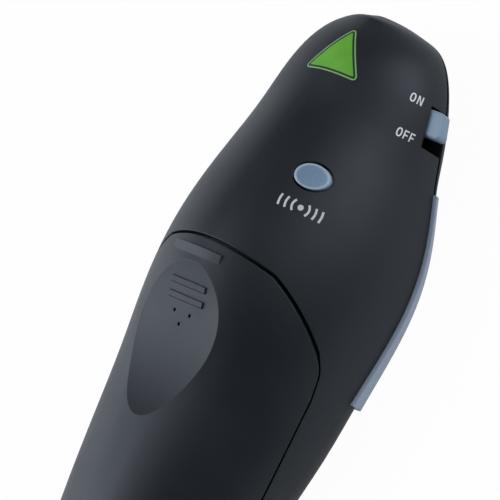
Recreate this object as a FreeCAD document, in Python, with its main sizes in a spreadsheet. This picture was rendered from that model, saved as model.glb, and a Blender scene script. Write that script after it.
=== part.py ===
"""Wireless presentation clicker with a slide switch, a connect button, front keys,
a sliding battery cover and a USB receiver parked in its tail. Millimetres.

X runs along the body with the nose at +X, -Y is the side with the power switch,
and +Z is the back. The clicker lies on its front face, which is the plane Z = 0.
Places along the body are measured from the nose tip, which lies half a body length
from the origin.
"""
import math
import os

import FreeCAD
import Part
import Sketcher

Vector = FreeCAD.Vector

# Driving sizes, grouped by the piece that they belong to
SIZES = {
    # whole body
    "body_length": 140.0,
    "body_half_width": 19.85,
    "body_height": 26.4,
    "casing_wall": 1.8,
    "front_wall": 2.2,
    "nose_wall": 2.6,
    "tail_wall": 2.6,
    "parting_gap": 0.15,
    "nose_parting_gap": 0.4,
    "slide_gap": 0.3,
    "overrun": 5.0,
    # grey bezel round the keys
    "bezel_start": 20.0,
    "bezel_end": 51.0,
    "bezel_wall": 1.0,
    "bezel_proud": 0.6,
    "shell_inset": 0.35,
    # battery cover
    "cover_start": 38.65,
    "cover_front_half": 9.9,
    "cover_front_drop": 1.15,
    "cover_corner_mid": 4.65,
    "cover_corner_mid_half": 14.35,
    "cover_corner_length": 11.15,
    "cover_half_width": 17.9,
    "cover_ledge_drop": 4.5,
    "cover_bend_start": 46.2,
    "cover_bend_drop": 1.3,
    "cover_bend_round": 49.2,
    "cover_bend_round_drop": 3.65,
    "cover_bend_middle": 50.2,
    "cover_bend_middle_drop": 4.0,
    "cover_gap": 0.25,
    "cover_nose_gap": 0.2,
    "cover_tail": 18.0,
    "cover_lip_thick": 0.9,
    "cover_lip_reach": 2.0,
    "cover_lip_half": 10.5,
    # finger recess, thumb ridge, ribs and dots on the cover
    "recess_centre": 54.05,
    "recess_half_length": 11.45,
    "recess_half_width": 7.2,
    "recess_side": 1.5,
    "recess_depth": 2.0,
    "recess_tilt": 5.4,
    "rib_side": 1.1,
    "ridge_place": 41.15,
    "ridge_length": 10.0,
    "ridge_side": 1.85,
    "ridge_width": 1.3,
    "ridge_rise": 0.35,
    "rib_place": 45.76,
    "rib_pitch": 1.95,
    "rib_length": 7.0,
    "rib_width": 0.8,
    "rib_rise": 0.22,
    "dot_place": 49.6,
    "dot_pitch": 3.15,
    "dot_step": 1.55,
    "dot_side": 1.2,
    "dot_radius": 0.24,
    "dot_depth": 0.35,
    # power switch
    "knob_place": 11.45,
    "knob_length": 3.8,
    "knob_reach": 15.65,
    "knob_slant": 0.7,
    "knob_depth": 3.45,
    "knob_low": 8.95,
    "knob_high": 11.25,
    "knob_corner": 0.6,
    "knob_round": 0.4,
    "knob_stem_width": 1.6,
    "knob_stem_height": 1.3,
    "switch_travel": 1.4,
    "slot_bevel": 0.1,
    "slide_body_length": 8.2,
    "slide_body_depth": 3.4,
    "slide_body_height": 3.2,
    "slide_body_side": 10.4,
    "actuator_width": 1.4,
    "actuator_height": 1.1,
    "actuator_inside": 1.8,
    # connect button on the back
    "connect_place": 25.45,
    "connect_side": 7.2,
    "connect_half_length": 1.82,
    "connect_half_width": 2.18,
    "connect_proud": 0.15,
    "connect_sink": 7.8,
    "connect_flange": 0.8,
    "connect_flange_thick": 0.8,
    "connect_post_radius": 1.2,
    "connect_travel": 0.4,
    # circuit board
    "board_start": 7.6,
    "board_end": 45.6,
    "board_level": 7.4,
    "board_thick": 1.0,
    "board_half_width": 13.5,
    "board_full_place": 23.0,
    "board_nose_half": 9.3,
    "board_shoulder_place": 14.0,
    "board_shoulder_half": 11.4,
    "board_notch_half": 3.9,
    "board_notch_end": 23.5,
    "board_screw_inset": 2.6,
    "board_screw_half": 11.0,
    "chip_place": 34.0,
    "chip_size": 5.0,
    "chip_thick": 1.0,
    "crystal_place": 41.0,
    "crystal_length": 8.0,
    "crystal_width": 3.4,
    "crystal_height": 2.4,
    # tact switches
    "tact_size": 4.5,
    "tact_height": 3.2,
    "tact_stem_radius": 1.1,
    "tact_stem_reach": 0.6,
    "tact_bore_depth": 1.6,
    "tact_bore_gap": 0.15,
    # front keys
    "key_recess": 0.45,
    "key_gap": 0.25,
    "key_flange": 0.6,
    "key_flange_thick": 0.6,
    "key_post_radius": 1.1,
    "key_round": 1.4,
    "key_edge": 0.3,
    "key_travel": 0.4,
    "key_seat": 0.45,
    "laser_key_place": 26.0,
    "laser_key_length": 6.4,
    "laser_key_width": 9.0,
    "small_key_size": 5.2,
    "play_key_place": 33.4,
    "blank_key_place": 40.4,
    "page_key_side": 6.9,
    "page_key_place": 37.0,
    "page_key_length": 12.4,
    "page_key_width": 5.4,
    # laser module in the nose
    "laser_level": 9.0,
    "aperture_radius": 1.9,
    "window_radius": 2.4,
    "window_thick": 0.8,
    "window_place": 1.9,
    "barrel_radius": 3.0,
    "barrel_length": 13.0,
    "barrel_bore": 2.2,
    "barrel_lip": 0.8,
    "barrel_lip_bore": 1.5,
    "lens_thick": 1.4,
    "lens_gap": 0.05,
    "diode_radius": 2.15,
    "diode_thick": 2.6,
    "diode_can_radius": 1.5,
    "diode_can_length": 1.6,
    "driver_length": 5.0,
    "driver_width": 5.6,
    "driver_thick": 0.8,
    # cells, contacts and tray
    "cell_radius": 5.25,
    "cell_length": 43.7,
    "nub_radius": 1.9,
    "nub_length": 0.8,
    "cell_spread": 5.45,
    "cell_level": 10.1,
    "cell_gap": 0.2,
    "bay_start": 48.0,
    "spring_length": 3.2,
    "spring_radius": 2.4,
    "spring_wire": 0.25,
    "spring_turns": 3.0,
    "plate_thick": 0.4,
    "plate_size": 6.8,
    "tray_floor": 0.9,
    "tray_wall": 1.0,
    "tray_top": 8.2,
    "tray_end_top": 11.3,
    "tray_side": 0.45,
    "tray_chamfer": 3.4,
    "tray_flange": 5.2,
    "tray_flange_half": 10.2,
    "tray_flange_thick": 1.4,
    "tray_flange_level": 6.2,
    # screws and bosses
    "screw_radius": 0.7,
    "screw_length": 4.2,
    "screw_head_radius": 1.4,
    "screw_head_height": 0.9,
    "screw_slot": 0.4,
    "boss_radius": 1.8,
    "case_screw_place": 53.0,
    "case_screw_side": 14.7,
    "case_ear_level": 7.5,
    "case_ear_thick": 1.6,
    # receiver
    "receiver_start": 105.5,
    "plug_length": 14.5,
    "plug_width": 12.0,
    "plug_height": 4.5,
    "plug_wall": 0.3,
    "tongue_width": 10.8,
    "tongue_thick": 1.7,
    "tongue_short": 2.0,
    "contact_width": 1.2,
    "contact_pitch": 2.3,
    "contact_thick": 0.15,
    "receiver_width": 13.8,
    "receiver_height": 6.0,
    "receiver_low": 5.1,
    "receiver_wall": 1.0,
    "receiver_round": 1.6,
    "receiver_gap": 0.3,
    "guide_half": 4.5,
    "guide_width": 1.2,
}

# The body's cross sections from nose tip to tail. Each row is hand picked: the place as a
# share of the length, the half width as a share of the greatest half width, then the back,
# the parting line and the front face as shares of the height, and how square the lower edge is.
SECTION_SHARES = (
    (0.0000, 0.141, 0.495, 0.397, 0.206, 0.10),
    (0.0021, 0.222, 0.531, 0.380, 0.206, 0.10),
    (0.0046, 0.299, 0.566, 0.362, 0.206, 0.10),
    (0.0064, 0.342, 0.588, 0.352, 0.206, 0.10),
    (0.0186, 0.492, 0.634, 0.354, 0.173, 0.10),
    (0.0429, 0.620, 0.705, 0.345, 0.124, 0.10),
    (0.0857, 0.733, 0.757, 0.319, 0.061, 0.22),
    (0.1429, 0.827, 0.830, 0.267, 0.010, 0.20),
    (0.2143, 0.962, 0.928, 0.224, -0.008, 0.42),
    (0.3000, 0.990, 1.000, 0.233, -0.008, 0.60),
    (0.3929, 0.941, 0.924, 0.275, -0.008, 0.65),
    (0.5000, 0.850, 0.879, 0.316, -0.004, 0.54),
    (0.6429, 0.747, 0.795, 0.326, 0.023, 0.50),
    (0.8000, 0.675, 0.705, 0.295, 0.061, 0.55),
    (0.9286, 0.625, 0.621, 0.277, 0.098, 0.55),
    (0.9814, 0.524, 0.538, 0.277, 0.136, 0.50),
    (0.9957, 0.403, 0.462, 0.277, 0.174, 0.50),
    (1.0000, 0.302, 0.402, 0.277, 0.205, 0.50),
)
FLANK_SHARE = 0.525
CROWN_SHARE = 0.365
FLAT_SHARE = 0.45
HEEL_SHARE = 0.45
# How far the cover's straight sides open out towards the tail, as a share of their half width
COVER_FLARE_SHARE = 0.15
# How steeply the cover's ledges rise towards its front corners, in three steps
BEND_SLOPE_SHARES = (0.84, 0.5, 0.19)

doc = FreeCAD.newDocument("clicker")
sheet = doc.addObject("Spreadsheet::Sheet", "Sizes")
for row, (word, value) in enumerate(SIZES.items(), start=1):
    cell = "A" + str(row)
    sheet.set(cell, str(value))
    sheet.setAlias(cell, word)
doc.recompute()


def size(word):
    """A driving size, read back from the sheet."""
    return float(getattr(sheet, word))


NOSE_X = size("body_length") / 2
sub_parts = []


def from_nose(distance):
    """The X of a place measured from the nose tip."""
    return NOSE_X - distance


def keep(thing, label):
    """Names a sub-part; its label is also its file's name."""
    thing.Label = label
    sub_parts.append(thing)
    return thing


def shaped(label, shape):
    """A sub-part whose solid comes from surface functions."""
    feature = doc.addObject("Part::Feature", label)
    feature.Shape = shape
    feature.Placement = FreeCAD.Placement()
    return keep(feature, label)


def bind(thing, links):
    """Ties properties of a document object to formulas on the sheet."""
    for name, formula in links.items():
        thing.setExpression(name, formula)
    return thing


def place(thing, x, y, z):
    """Ties an object's position to formulas on the sheet."""
    return bind(thing, {
        "Placement.Base.x": x,
        "Placement.Base.y": y,
        "Placement.Base.z": z,
    })


def along(distance):
    """The formula for the X of a place measured from the nose tip."""
    return "Sizes.body_length / 2 - (" + distance + ")"


def box(name, length, width, height, x, y, z):
    """A box of bound sizes whose lowest corner is at x, y, z."""
    thing = doc.addObject("Part::Box", name)
    bind(thing, {"Length": length, "Width": width, "Height": height})
    return place(thing, x, y, z)


def rod(name, radius, length, x, y, z, lies=False):
    """A cylinder of bound sizes that stands on x, y, z, or runs from there towards +X."""
    thing = doc.addObject("Part::Cylinder", name)
    bind(thing, {"Radius": radius, "Height": length})
    if lies:
        thing.Placement = FreeCAD.Placement(
            Vector(), FreeCAD.Rotation(Vector(0, 0, 1), Vector(1, 0, 0)))
    return place(thing, x, y, z)


def fuse(name, things):
    """Joins objects into one solid."""
    thing = doc.addObject("Part::MultiFuse", name)
    thing.Shapes = things
    return thing


def cut(name, base, tool):
    """Takes one object out of another."""
    thing = doc.addObject("Part::Cut", name)
    thing.Base = base
    thing.Tool = tool
    return thing


def origin_plane(body, role):
    """One of a body's own origin planes."""
    return next(item for item in body.Origin.OriginFeatures if item.Role == role)


def outline(body, name, role, corners):
    """A closed sketch through corners, each a pair of formulas on the sheet."""
    sketch = body.newObject("Sketcher::SketchObject", name)
    sketch.AttachmentSupport = (origin_plane(body, role), [""])
    sketch.MapMode = "FlatFace"
    count = len(corners)
    spots = [Vector(math.cos(2 * math.pi * i / count), math.sin(2 * math.pi * i / count), 0)
             for i in range(count)]
    for i in range(count):
        sketch.addGeometry(Part.LineSegment(spots[i], spots[(i + 1) % count]), False)
    for i in range(count):
        sketch.addConstraint(Sketcher.Constraint("Coincident", i, 2, (i + 1) % count, 1))
    for i, (first, second) in enumerate(corners):
        for kind, formula in (("DistanceX", first), ("DistanceY", second)):
            spot = spots[i].x if kind == "DistanceX" else spots[i].y
            number = sketch.addConstraint(Sketcher.Constraint(kind, -1, 1, i, 1, spot))
            sketch.setExpression("Constraints[" + str(number) + "]", formula)
    return sketch


def rectangle(body, name, role, half_first, half_second):
    """A closed sketch of a rectangle about the origin."""
    low = "-(" + half_second + ")"
    high = half_second
    return outline(body, name, role, [
        ("-(" + half_first + ")", low), (half_first, low),
        (half_first, high), ("-(" + half_first + ")", high)])


def pad(body, name, sketch, length, backwards=False):
    """Raises a sketch into solid."""
    feature = body.newObject("PartDesign::Pad", name)
    feature.Profile = sketch
    feature.Reversed = backwards
    bind(feature, {"Length": length})
    return feature


def parallel_edges(shape, direction, least):
    """The names of a shape's straight edges along a direction that are long enough."""
    names = []
    for number, side in enumerate(shape.Edges, start=1):
        if len(side.Vertexes) < 2 or side.Length < least or side.Curve.TypeId != "Part::GeomLine":
            continue
        run = side.Vertexes[1].Point - side.Vertexes[0].Point
        if run.getAngle(direction) < 0.01 or run.getAngle(-direction) < 0.01:
            names.append("Edge" + str(number))
    return names


def curve(*points):
    """A Bezier edge."""
    line = Part.BezierCurve()
    line.setPoles([Vector(*point) for point in points])
    return line.toShape()


def section_sizes(shares):
    """One cross section's sizes: X, half width, back, parting, front and lower edge share."""
    place_share, width_share, back_share, parting_share, front_share, edge_share = shares
    return (
        from_nose(place_share * size("body_length")),
        width_share * size("body_half_width"),
        back_share * size("body_height"),
        parting_share * size("body_height"),
        front_share * size("body_height"),
        edge_share,
    )


def back_curves(x, half, back, parting):
    """The two curves over the back, from the +Y side to the -Y side."""
    rise = back - parting
    return [
        curve((x, half, parting), (x, half, parting + FLANK_SHARE * rise),
              (x, CROWN_SHARE * half, back), (x, 0, back)),
        curve((x, 0, back), (x, -CROWN_SHARE * half, back),
              (x, -half, parting + FLANK_SHARE * rise), (x, -half, parting)),
    ]


def front_curves(x, half, parting, front, edge_share):
    """The lower edges and the flat of the front, from the -Y side to the +Y side."""
    flat = FLAT_SHARE * half
    heel = flat + HEEL_SHARE * (half - flat)
    shin = parting - edge_share * (parting - front)
    return [
        curve((x, -half, parting), (x, -half, shin), (x, -heel, front), (x, -flat, front)),
        Part.makeLine(Vector(x, -flat, front), Vector(x, flat, front)),
        curve((x, flat, front), (x, heel, front), (x, half, shin), (x, half, parting)),
    ]


def whole_loft(inset, rows=SECTION_SHARES):
    """The body's outside, drawn in by an inset on the sides, back and front."""
    wires = []
    for shares in rows:
        x, half, back, parting, front, edge_share = section_sizes(shares)
        wires.append(Part.Wire(
            back_curves(x, half - inset, back - inset, parting)
            + front_curves(x, half - inset, parting, front + inset, edge_share)))
    return Part.makeLoft(wires, True, False)


def waist_loft(inset):
    """The stretch of the body round its widest part, drawn in by an inset."""
    return whole_loft(inset, SECTION_SHARES[6:14])


def back_loft():
    """The solid above the parting line."""
    wires = []
    for shares in SECTION_SHARES:
        x, half, back, parting, front, edge_share = section_sizes(shares)
        floor = Part.makeLine(Vector(x, -half, parting), Vector(x, half, parting))
        wires.append(Part.Wire(back_curves(x, half, back, parting) + [floor]))
    return Part.makeLoft(wires, True, False)


def front_loft(swell=0.0, gap_word="parting_gap"):
    """The solid below the parting line, swollen all round or drawn in on the sides only."""
    wires = []
    for shares in SECTION_SHARES:
        x, half, back, parting, front, edge_share = section_sizes(shares)
        half = half + swell
        parting = parting - size(gap_word)
        lid = Part.makeLine(Vector(x, half, parting), Vector(x, -half, parting))
        lowest = front - max(swell, 0.0)
        wires.append(Part.Wire(front_curves(x, half, parting, lowest, edge_share) + [lid]))
    solid = Part.makeLoft(wires, True, False)
    reach = size("body_length") + size("overrun")
    floor = Part.makeBox(2 * reach, 2 * reach, reach, Vector(-reach, -reach, -reach))
    return solid.cut(floor)


def hollow(inset, nose_gap, tail_gap):
    """The space inside walls of one thickness, closed at the nose and the tail."""
    first = 4
    last = len(SECTION_SHARES) - 2
    space = whole_loft(inset, SECTION_SHARES[first:last])
    reach = size("body_length")
    keep_box = Part.makeBox(
        reach - nose_gap - tail_gap, reach, reach,
        Vector(from_nose(reach - tail_gap), -reach / 2, -reach / 2))
    return space.common(keep_box)


def slab(start, end, half, low, high):
    """A box across the body between two places measured from the nose tip."""
    return Part.makeBox(end - start, 2 * half, high - low, Vector(from_nose(end), -half, low))


def block(start, end, y_low, y_high, low, high):
    """A box between two places measured from the nose tip and two values of Y."""
    return Part.makeBox(end - start, y_high - y_low, high - low,
                        Vector(from_nose(end), y_low, low))


def pin(radius, length, distance, y, z):
    """A standing cylinder at a place measured from the nose tip."""
    return Part.makeCylinder(radius, length, Vector(from_nose(distance), y, z))


def laser_rod(radius, start, end):
    """A cylinder on the laser's axis between two places measured from the nose tip."""
    return Part.makeCylinder(radius, end - start,
                             Vector(from_nose(end), 0, size("laser_level")), Vector(1, 0, 0))


def height_at(distance, column):
    """A height of the body at a place measured from the nose tip, between two sections."""
    share = distance / size("body_length")
    for before, after in zip(SECTION_SHARES, SECTION_SHARES[1:]):
        if before[0] <= share <= after[0]:
            part_way = (share - before[0]) / (after[0] - before[0])
            mean = before[column] + part_way * (after[column] - before[column])
            return mean * size("body_height")
    return SECTION_SHARES[-1][column] * size("body_height")


def back_at(distance):
    return height_at(distance, 2)


def front_at(distance):
    return max(0.0, height_at(distance, 4))


def oval(half_x, half_y, x, y, low, high):
    """A standing oval prism."""
    longer = max(half_x, half_y)
    shorter = min(half_x, half_y)
    turn = Vector(1, 0, 0) if half_x >= half_y else Vector(0, 1, 0)
    side = Vector(0, 0, 1).cross(turn)
    centre = Vector(x, y, low)
    ring = Part.Ellipse(centre + turn * longer, centre + side * shorter, centre)
    return Part.Face(Part.Wire(ring.toShape())).extrude(Vector(0, 0, high - low))


def rounded_block(length, width, height, radius, corner):
    """A block with rounded standing edges."""
    solid = Part.makeBox(length, width, height, corner)
    standing = [side for side in solid.Edges
                if abs(side.Vertexes[0].Point.z - side.Vertexes[1].Point.z) > height / 2]
    return solid.makeFillet(radius, standing)


def lying_block(length, width, height, radius, corner):
    """A block with rounded edges along X."""
    solid = Part.makeBox(length, width, height, corner)
    lengthwise = [side for side in solid.Edges
                  if abs(side.Vertexes[0].Point.x - side.Vertexes[1].Point.x) > length / 2]
    return solid.makeFillet(radius, lengthwise)


TOP = size("body_height") + size("overrun")
WIDE = size("body_half_width") + size("overrun")
TAIL_SPACE = size("body_length") + size("overrun")

back_solid = back_loft()
front_solid = front_loft(gap_word="nose_parting_gap").common(
    slab(-size("overrun"), size("bezel_start"), WIDE, 0, TOP))
front_solid = front_solid.fuse(front_loft(-size("shell_inset")).common(
    slab(size("bezel_start"), TAIL_SPACE, WIDE, 0, TOP)))
casing_hollow = hollow(size("casing_wall"), size("nose_wall"), size("tail_wall"))
front_hollow = hollow(size("front_wall"), size("nose_wall"), size("tail_wall"))


# Battery cover outline, seen from above, and the sloping ledges along its sides
def cover_plan(gap):
    """The space under the cover's outline, drawn in by a gap."""
    x_front = from_nose(size("cover_start") + gap)
    if gap:
        x_front -= size("cover_nose_gap")
    half = size("cover_half_width") - gap
    front_half = size("cover_front_half") - gap
    x_shoulder = x_front - size("cover_front_drop")
    x_corner = x_front - size("cover_corner_length")
    x_mid = x_front - size("cover_corner_mid")
    mid_half = size("cover_corner_mid_half") - gap
    x_tail = from_nose(TAIL_SPACE)
    tail_half = half * (1 + COVER_FLARE_SHARE)

    def bend(first, middle, last):
        return Part.Arc(Vector(*first, 0), Vector(*middle, 0), Vector(*last, 0)).toShape()

    def straight(first, last):
        return Part.makeLine(Vector(*first, 0), Vector(*last, 0))

    edges = [
        bend((x_shoulder, front_half), (x_front, 0), (x_shoulder, -front_half)),
        bend((x_shoulder, -front_half), (x_mid, -mid_half), (x_corner, -half)),
        straight((x_corner, -half), (x_tail, -tail_half)),
        straight((x_tail, -tail_half), (x_tail, tail_half)),
        straight((x_tail, tail_half), (x_corner, half)),
        bend((x_corner, half), (x_mid, mid_half), (x_shoulder, front_half)),
    ]
    return Part.Face(Part.Wire(edges)).extrude(Vector(0, 0, TOP))


def cover_ledge(gap):
    """The space above two ledges that slope up and out at 45 degrees along the body."""
    steep, middling, gentle = BEND_SLOPE_SHARES
    bends = [(size("cover_bend_start"), size("cover_bend_drop"), steep),
             (size("cover_bend_round"), size("cover_bend_round_drop"), middling),
             (size("cover_bend_middle"), size("cover_bend_middle_drop"), gentle),
             (TAIL_SPACE, size("cover_ledge_drop"), 0)]
    x_tail = from_nose(TAIL_SPACE)
    run = TAIL_SPACE + size("overrun")
    space = slab(-size("overrun"), TAIL_SPACE, WIDE, 0, TOP)
    for distance, drop, slope in bends:
        low = gap * math.sqrt(2) - drop - slope * (TAIL_SPACE - distance)
        corners = [Vector(x_tail, 0, low), Vector(x_tail, WIDE, low + WIDE),
                   Vector(x_tail, WIDE, TOP + slope * run), Vector(x_tail, -WIDE, TOP + slope * run),
                   Vector(x_tail, -WIDE, low + WIDE), Vector(x_tail, 0, low)]
        space = space.common(Part.Face(Part.makePolygon(corners)).extrude(
            Vector(run, 0, slope * run)))
    return space


def cover_zone(gap):
    """All the space that belongs to the cover, drawn in by a gap."""
    tail_start = size("body_length") - size("cover_tail") + gap
    tail_space = slab(tail_start, TAIL_SPACE, WIDE, 0, TOP)
    return cover_plan(gap).common(cover_ledge(gap)).fuse(tail_space)


# Receiver bay, open at the tail
receiver_end = size("body_length")
receiver_half = size("receiver_width") / 2
bay_mouth_start = size("receiver_start") + size("plug_length") + 2 * size("receiver_wall")
receiver_mouth = lying_block(
    TAIL_SPACE - bay_mouth_start,
    size("receiver_width") + 2 * size("receiver_gap"),
    size("receiver_height") + 2 * size("receiver_gap"),
    size("receiver_round"),
    Vector(from_nose(TAIL_SPACE), -receiver_half - size("receiver_gap"),
           size("receiver_low") - size("receiver_gap")))

# Laser bores through the nose, shared by both casing halves
window_end = size("window_place") + size("window_thick")
barrel_start = window_end
barrel_end = barrel_start + size("barrel_length")
laser_bores = laser_rod(size("aperture_radius"), -size("overrun"), barrel_start)
laser_bores = laser_bores.fuse(laser_rod(
    size("window_radius"), size("window_place"), window_end))
laser_bores = laser_bores.fuse(laser_rod(
    size("barrel_radius"), barrel_start, barrel_end))

# Rear casing: the black shell over the back, with the switch slot and the button's hole
switch_end_gap = size("slide_gap")
slot_start = size("knob_place") - size("knob_length") / 2 - switch_end_gap
slot_end = size("knob_place") + size("knob_length") / 2 + size("switch_travel") + switch_end_gap
slot_top = size("knob_high") + size("slide_gap")
slot_profile = [
    Vector(from_nose(slot_start), 0, 0),
    Vector(from_nose(slot_start), 0, slot_top),
    Vector(from_nose(slot_end), 0, slot_top),
    Vector(from_nose(slot_end + size("slot_bevel")), 0, size("knob_low")),
    Vector(from_nose(slot_end + size("slot_bevel")), 0, 0),
    Vector(from_nose(slot_start), 0, 0),
]
slot_space = Part.Face(Part.makePolygon(slot_profile)).extrude(Vector(0, -WIDE, 0))
slot_space = slot_space.common(block(
    0, size("body_length"), -WIDE, -size("slide_body_side"), 0, TOP))

connect_hole = oval(
    size("connect_half_length") + size("slide_gap"),
    size("connect_half_width") + size("slide_gap"),
    from_nose(size("connect_place")), -size("connect_side"), size("board_level"), TOP)

case_ear_top = size("case_ear_level") + size("case_ear_thick")


def case_ears():
    """Screw ears inside the rear casing, one on each side of the cells."""
    ears = []
    half = size("boss_radius")
    side = size("case_screw_side")
    room = size("casing_wall") * 2
    for sign in (-1, 1):
        inner = sign * (side - half)
        outer = sign * (side + room)
        ear = block(size("case_screw_place") - half, size("case_screw_place") + half,
                    min(inner, outer), max(inner, outer), size("case_ear_level"), case_ear_top)
        ear = ear.common(back_solid)
        ears.append(ear.cut(pin(size("screw_radius"), TOP, size("case_screw_place"),
                                sign * side, 0)))
    return ears


def rear_casing():
    solid = back_solid.cut(casing_hollow).cut(cover_zone(0))
    solid = solid.cut(slot_space).cut(connect_hole).cut(laser_bores)
    return solid.fuse(case_ears()).removeSplitter()


# Finger recess: a large drum laid across the cover scoops it out
recess_x = from_nose(size("recess_centre"))
recess_floor = back_at(size("recess_centre")) - size("recess_depth")
recess_rise = size("recess_depth") + (
    (back_at(size("recess_centre") - size("recess_half_length"))
     + back_at(size("recess_centre") + size("recess_half_length"))) / 2
    - back_at(size("recess_centre")))
recess_radius = (size("recess_half_length") ** 2 + recess_rise ** 2) / (2 * recess_rise)
recess_slope = math.atan2(
    back_at(size("recess_centre") - size("recess_half_length"))
    - back_at(size("recess_centre") + size("recess_half_length")),
    2 * size("recess_half_length"))


def recess_drum(radius):
    """The drum that scoops out the recess, as a cylinder across the body."""
    centre = Vector(recess_x - recess_radius * math.sin(recess_slope), 0,
                    recess_floor + recess_radius * math.cos(recess_slope))
    drum = Part.makeCylinder(radius, 2 * WIDE, centre + Vector(0, -WIDE, 0), Vector(0, 1, 0))
    drum.rotate(Vector(recess_x, 0, recess_floor), Vector(1, 0, 0), -size("recess_tilt"))
    return drum


def cover_ribs():
    """Raised bars on the recess floor."""
    skin = recess_drum(recess_radius + size("recess_depth")).cut(
        recess_drum(recess_radius - size("rib_rise")))
    bars = []
    half = size("rib_length") / 2
    for number in range(2):
        start = size("rib_place") - size("rib_width") / 2 + number * size("rib_pitch")
        bar = block(start, start + size("rib_width"), size("rib_side") - half,
                    size("rib_side") + half, recess_floor / 2, TOP)
        low_side = back_solid.common(bar).common(skin)
        bars.append(low_side)
    return bars


def cover_dots():
    """Three small dimples that point towards the tail."""
    floor_cut = recess_drum(recess_radius + size("dot_depth"))
    dimples = []
    spots = [(size("dot_place"), size("dot_side") + size("dot_pitch") / 2),
             (size("dot_place"), size("dot_side") - size("dot_pitch") / 2),
             (size("dot_place") + size("dot_step"), size("dot_side"))]
    for distance, y in spots:
        dimples.append(pin(size("dot_radius"), TOP, distance, y, 0).common(floor_cut))
    return dimples


def skin_piece(space, outer_inset, inner_inset):
    """The part of a space that lies between two insets of the body."""
    return space.common(waist_loft(outer_inset)).cut(waist_loft(inner_inset))


def battery_cover():
    shell = back_solid.cut(casing_hollow).common(cover_zone(size("cover_gap")))
    high = back_at(size("cover_start")) / 2
    backing = skin_piece(
        oval(size("recess_half_length") + size("casing_wall"),
             size("recess_half_width") + 2 * size("casing_wall"),
             recess_x, size("recess_side"), high, TOP),
        size("casing_wall") / 2, size("casing_wall") + size("recess_depth"))
    lip_inset = size("casing_wall") + size("slide_gap") / 2
    lip_end = size("cover_start") + 2 * size("cover_lip_reach")
    lip = skin_piece(
        slab(size("cover_start") - size("cover_lip_reach"), lip_end,
             size("cover_lip_half"), high, TOP),
        lip_inset, lip_inset + size("cover_lip_thick"))
    root = skin_piece(
        slab(size("cover_start") + size("cover_gap"), lip_end,
             size("cover_lip_half"), high, TOP).common(cover_plan(size("cover_gap"))),
        size("casing_wall") / 2, lip_inset + size("cover_lip_thick"))
    ridge_start = size("ridge_place") - size("ridge_width") / 2
    ridge_top = waist_loft(-size("ridge_rise"))
    ridge_top.rotate(Vector(from_nose(ridge_start), 0, back_at(ridge_start)), Vector(0, 1, 0),
                     -math.degrees(math.atan2(size("ridge_rise"), size("ridge_width"))))
    ridge = block(ridge_start, ridge_start + 2 * size("ridge_width"),
                  size("ridge_side") - size("ridge_length") / 2,
                  size("ridge_side") + size("ridge_length") / 2, high, TOP)
    ridge = ridge.common(ridge_top).cut(waist_loft(size("casing_wall") / 2))
    solid = shell.fuse([backing, lip, root, ridge])
    solid = solid.cut(recess_drum(recess_radius)).fuse(cover_ribs())
    solid = solid.cut(cover_dots()).cut(receiver_mouth)
    return solid.removeSplitter()


# Keys on the front: name, place from the nose tip, side, length, width
KEYS = (
    ("laser_key", "laser_key_place", "0", "laser_key_length", "laser_key_width"),
    ("play_key", "play_key_place", "0", "small_key_size", "small_key_size"),
    ("blank_key", "blank_key_place", "0", "small_key_size", "small_key_size"),
    ("page_forward_key", "page_key_place", "-Sizes.page_key_side",
     "page_key_length", "page_key_width"),
    ("page_back_key", "page_key_place", "Sizes.page_key_side",
     "page_key_length", "page_key_width"),
)


def key_side(name):
    """The Y of a key's middle."""
    return {"page_forward_key": -1, "page_back_key": 1}.get(name, 0) * size("page_key_side")


def key_holes(gap, rounding, low, high):
    """The room round the keys, between two levels."""
    holes = []
    for name, place_word, side, length_word, width_word in KEYS:
        length = size(length_word) + 2 * gap
        width = size(width_word) + 2 * gap
        corner = Vector(from_nose(size(place_word)) - length / 2, key_side(name) - width / 2, low)
        holes.append(rounded_block(length, width, high - low, rounding, corner))
    return holes


board_top = size("board_level") + size("board_thick")
board_screws = [
    (size("board_full_place") - size("board_screw_inset"), size("board_screw_half")),
    (size("board_end") - size("board_screw_inset"), size("board_screw_half")),
]
bay_length = (size("cell_length") + size("nub_length") + size("spring_length")
              + 2 * size("plate_thick") + size("cell_gap"))
bay_end = size("bay_start") + bay_length
tray_screw_place = bay_end + size("tray_wall") + size("tray_flange") / 2
tray_screw_side = size("tray_flange_half") - size("boss_radius")


# Bosses on the front shell: place from the nose tip, side, top
boss_spots = []
for row_side in (-1, 1):
    for distance, y in board_screws:
        boss_spots.append((distance, row_side * y, size("board_level")))
    boss_spots.append((size("case_screw_place"), row_side * size("case_screw_side"),
                       size("case_ear_level")))
    boss_spots.append((tray_screw_place, row_side * tray_screw_side, size("tray_flange_level")))


def front_bosses():
    """Posts that stand on the front shell and take the screws."""
    posts = []
    for distance, y, top in boss_spots:
        posts.append(pin(size("boss_radius"), top, distance, y, 0).common(whole_loft(
            size("bezel_wall") + size("parting_gap"))))
    return posts


def pilot_holes():
    """The holes that the screws bite into."""
    return [pin(size("screw_radius"), TOP, distance, y, front_at(distance) + size("front_wall"))
            for distance, y, top in boss_spots]


def receiver_guides():
    """Two ribs on the front shell that carry the receiver."""
    rails = []
    for sign in (-1, 1):
        middle = sign * size("guide_half")
        rail = block(size("receiver_start"), bay_mouth_start + 2 * size("boss_radius"),
                     middle - size("guide_width") / 2, middle + size("guide_width") / 2,
                     0, size("receiver_low") - size("slide_gap") / 2)
        rails.append(rail.common(whole_loft(size("bezel_wall"))))
    return rails


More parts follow.
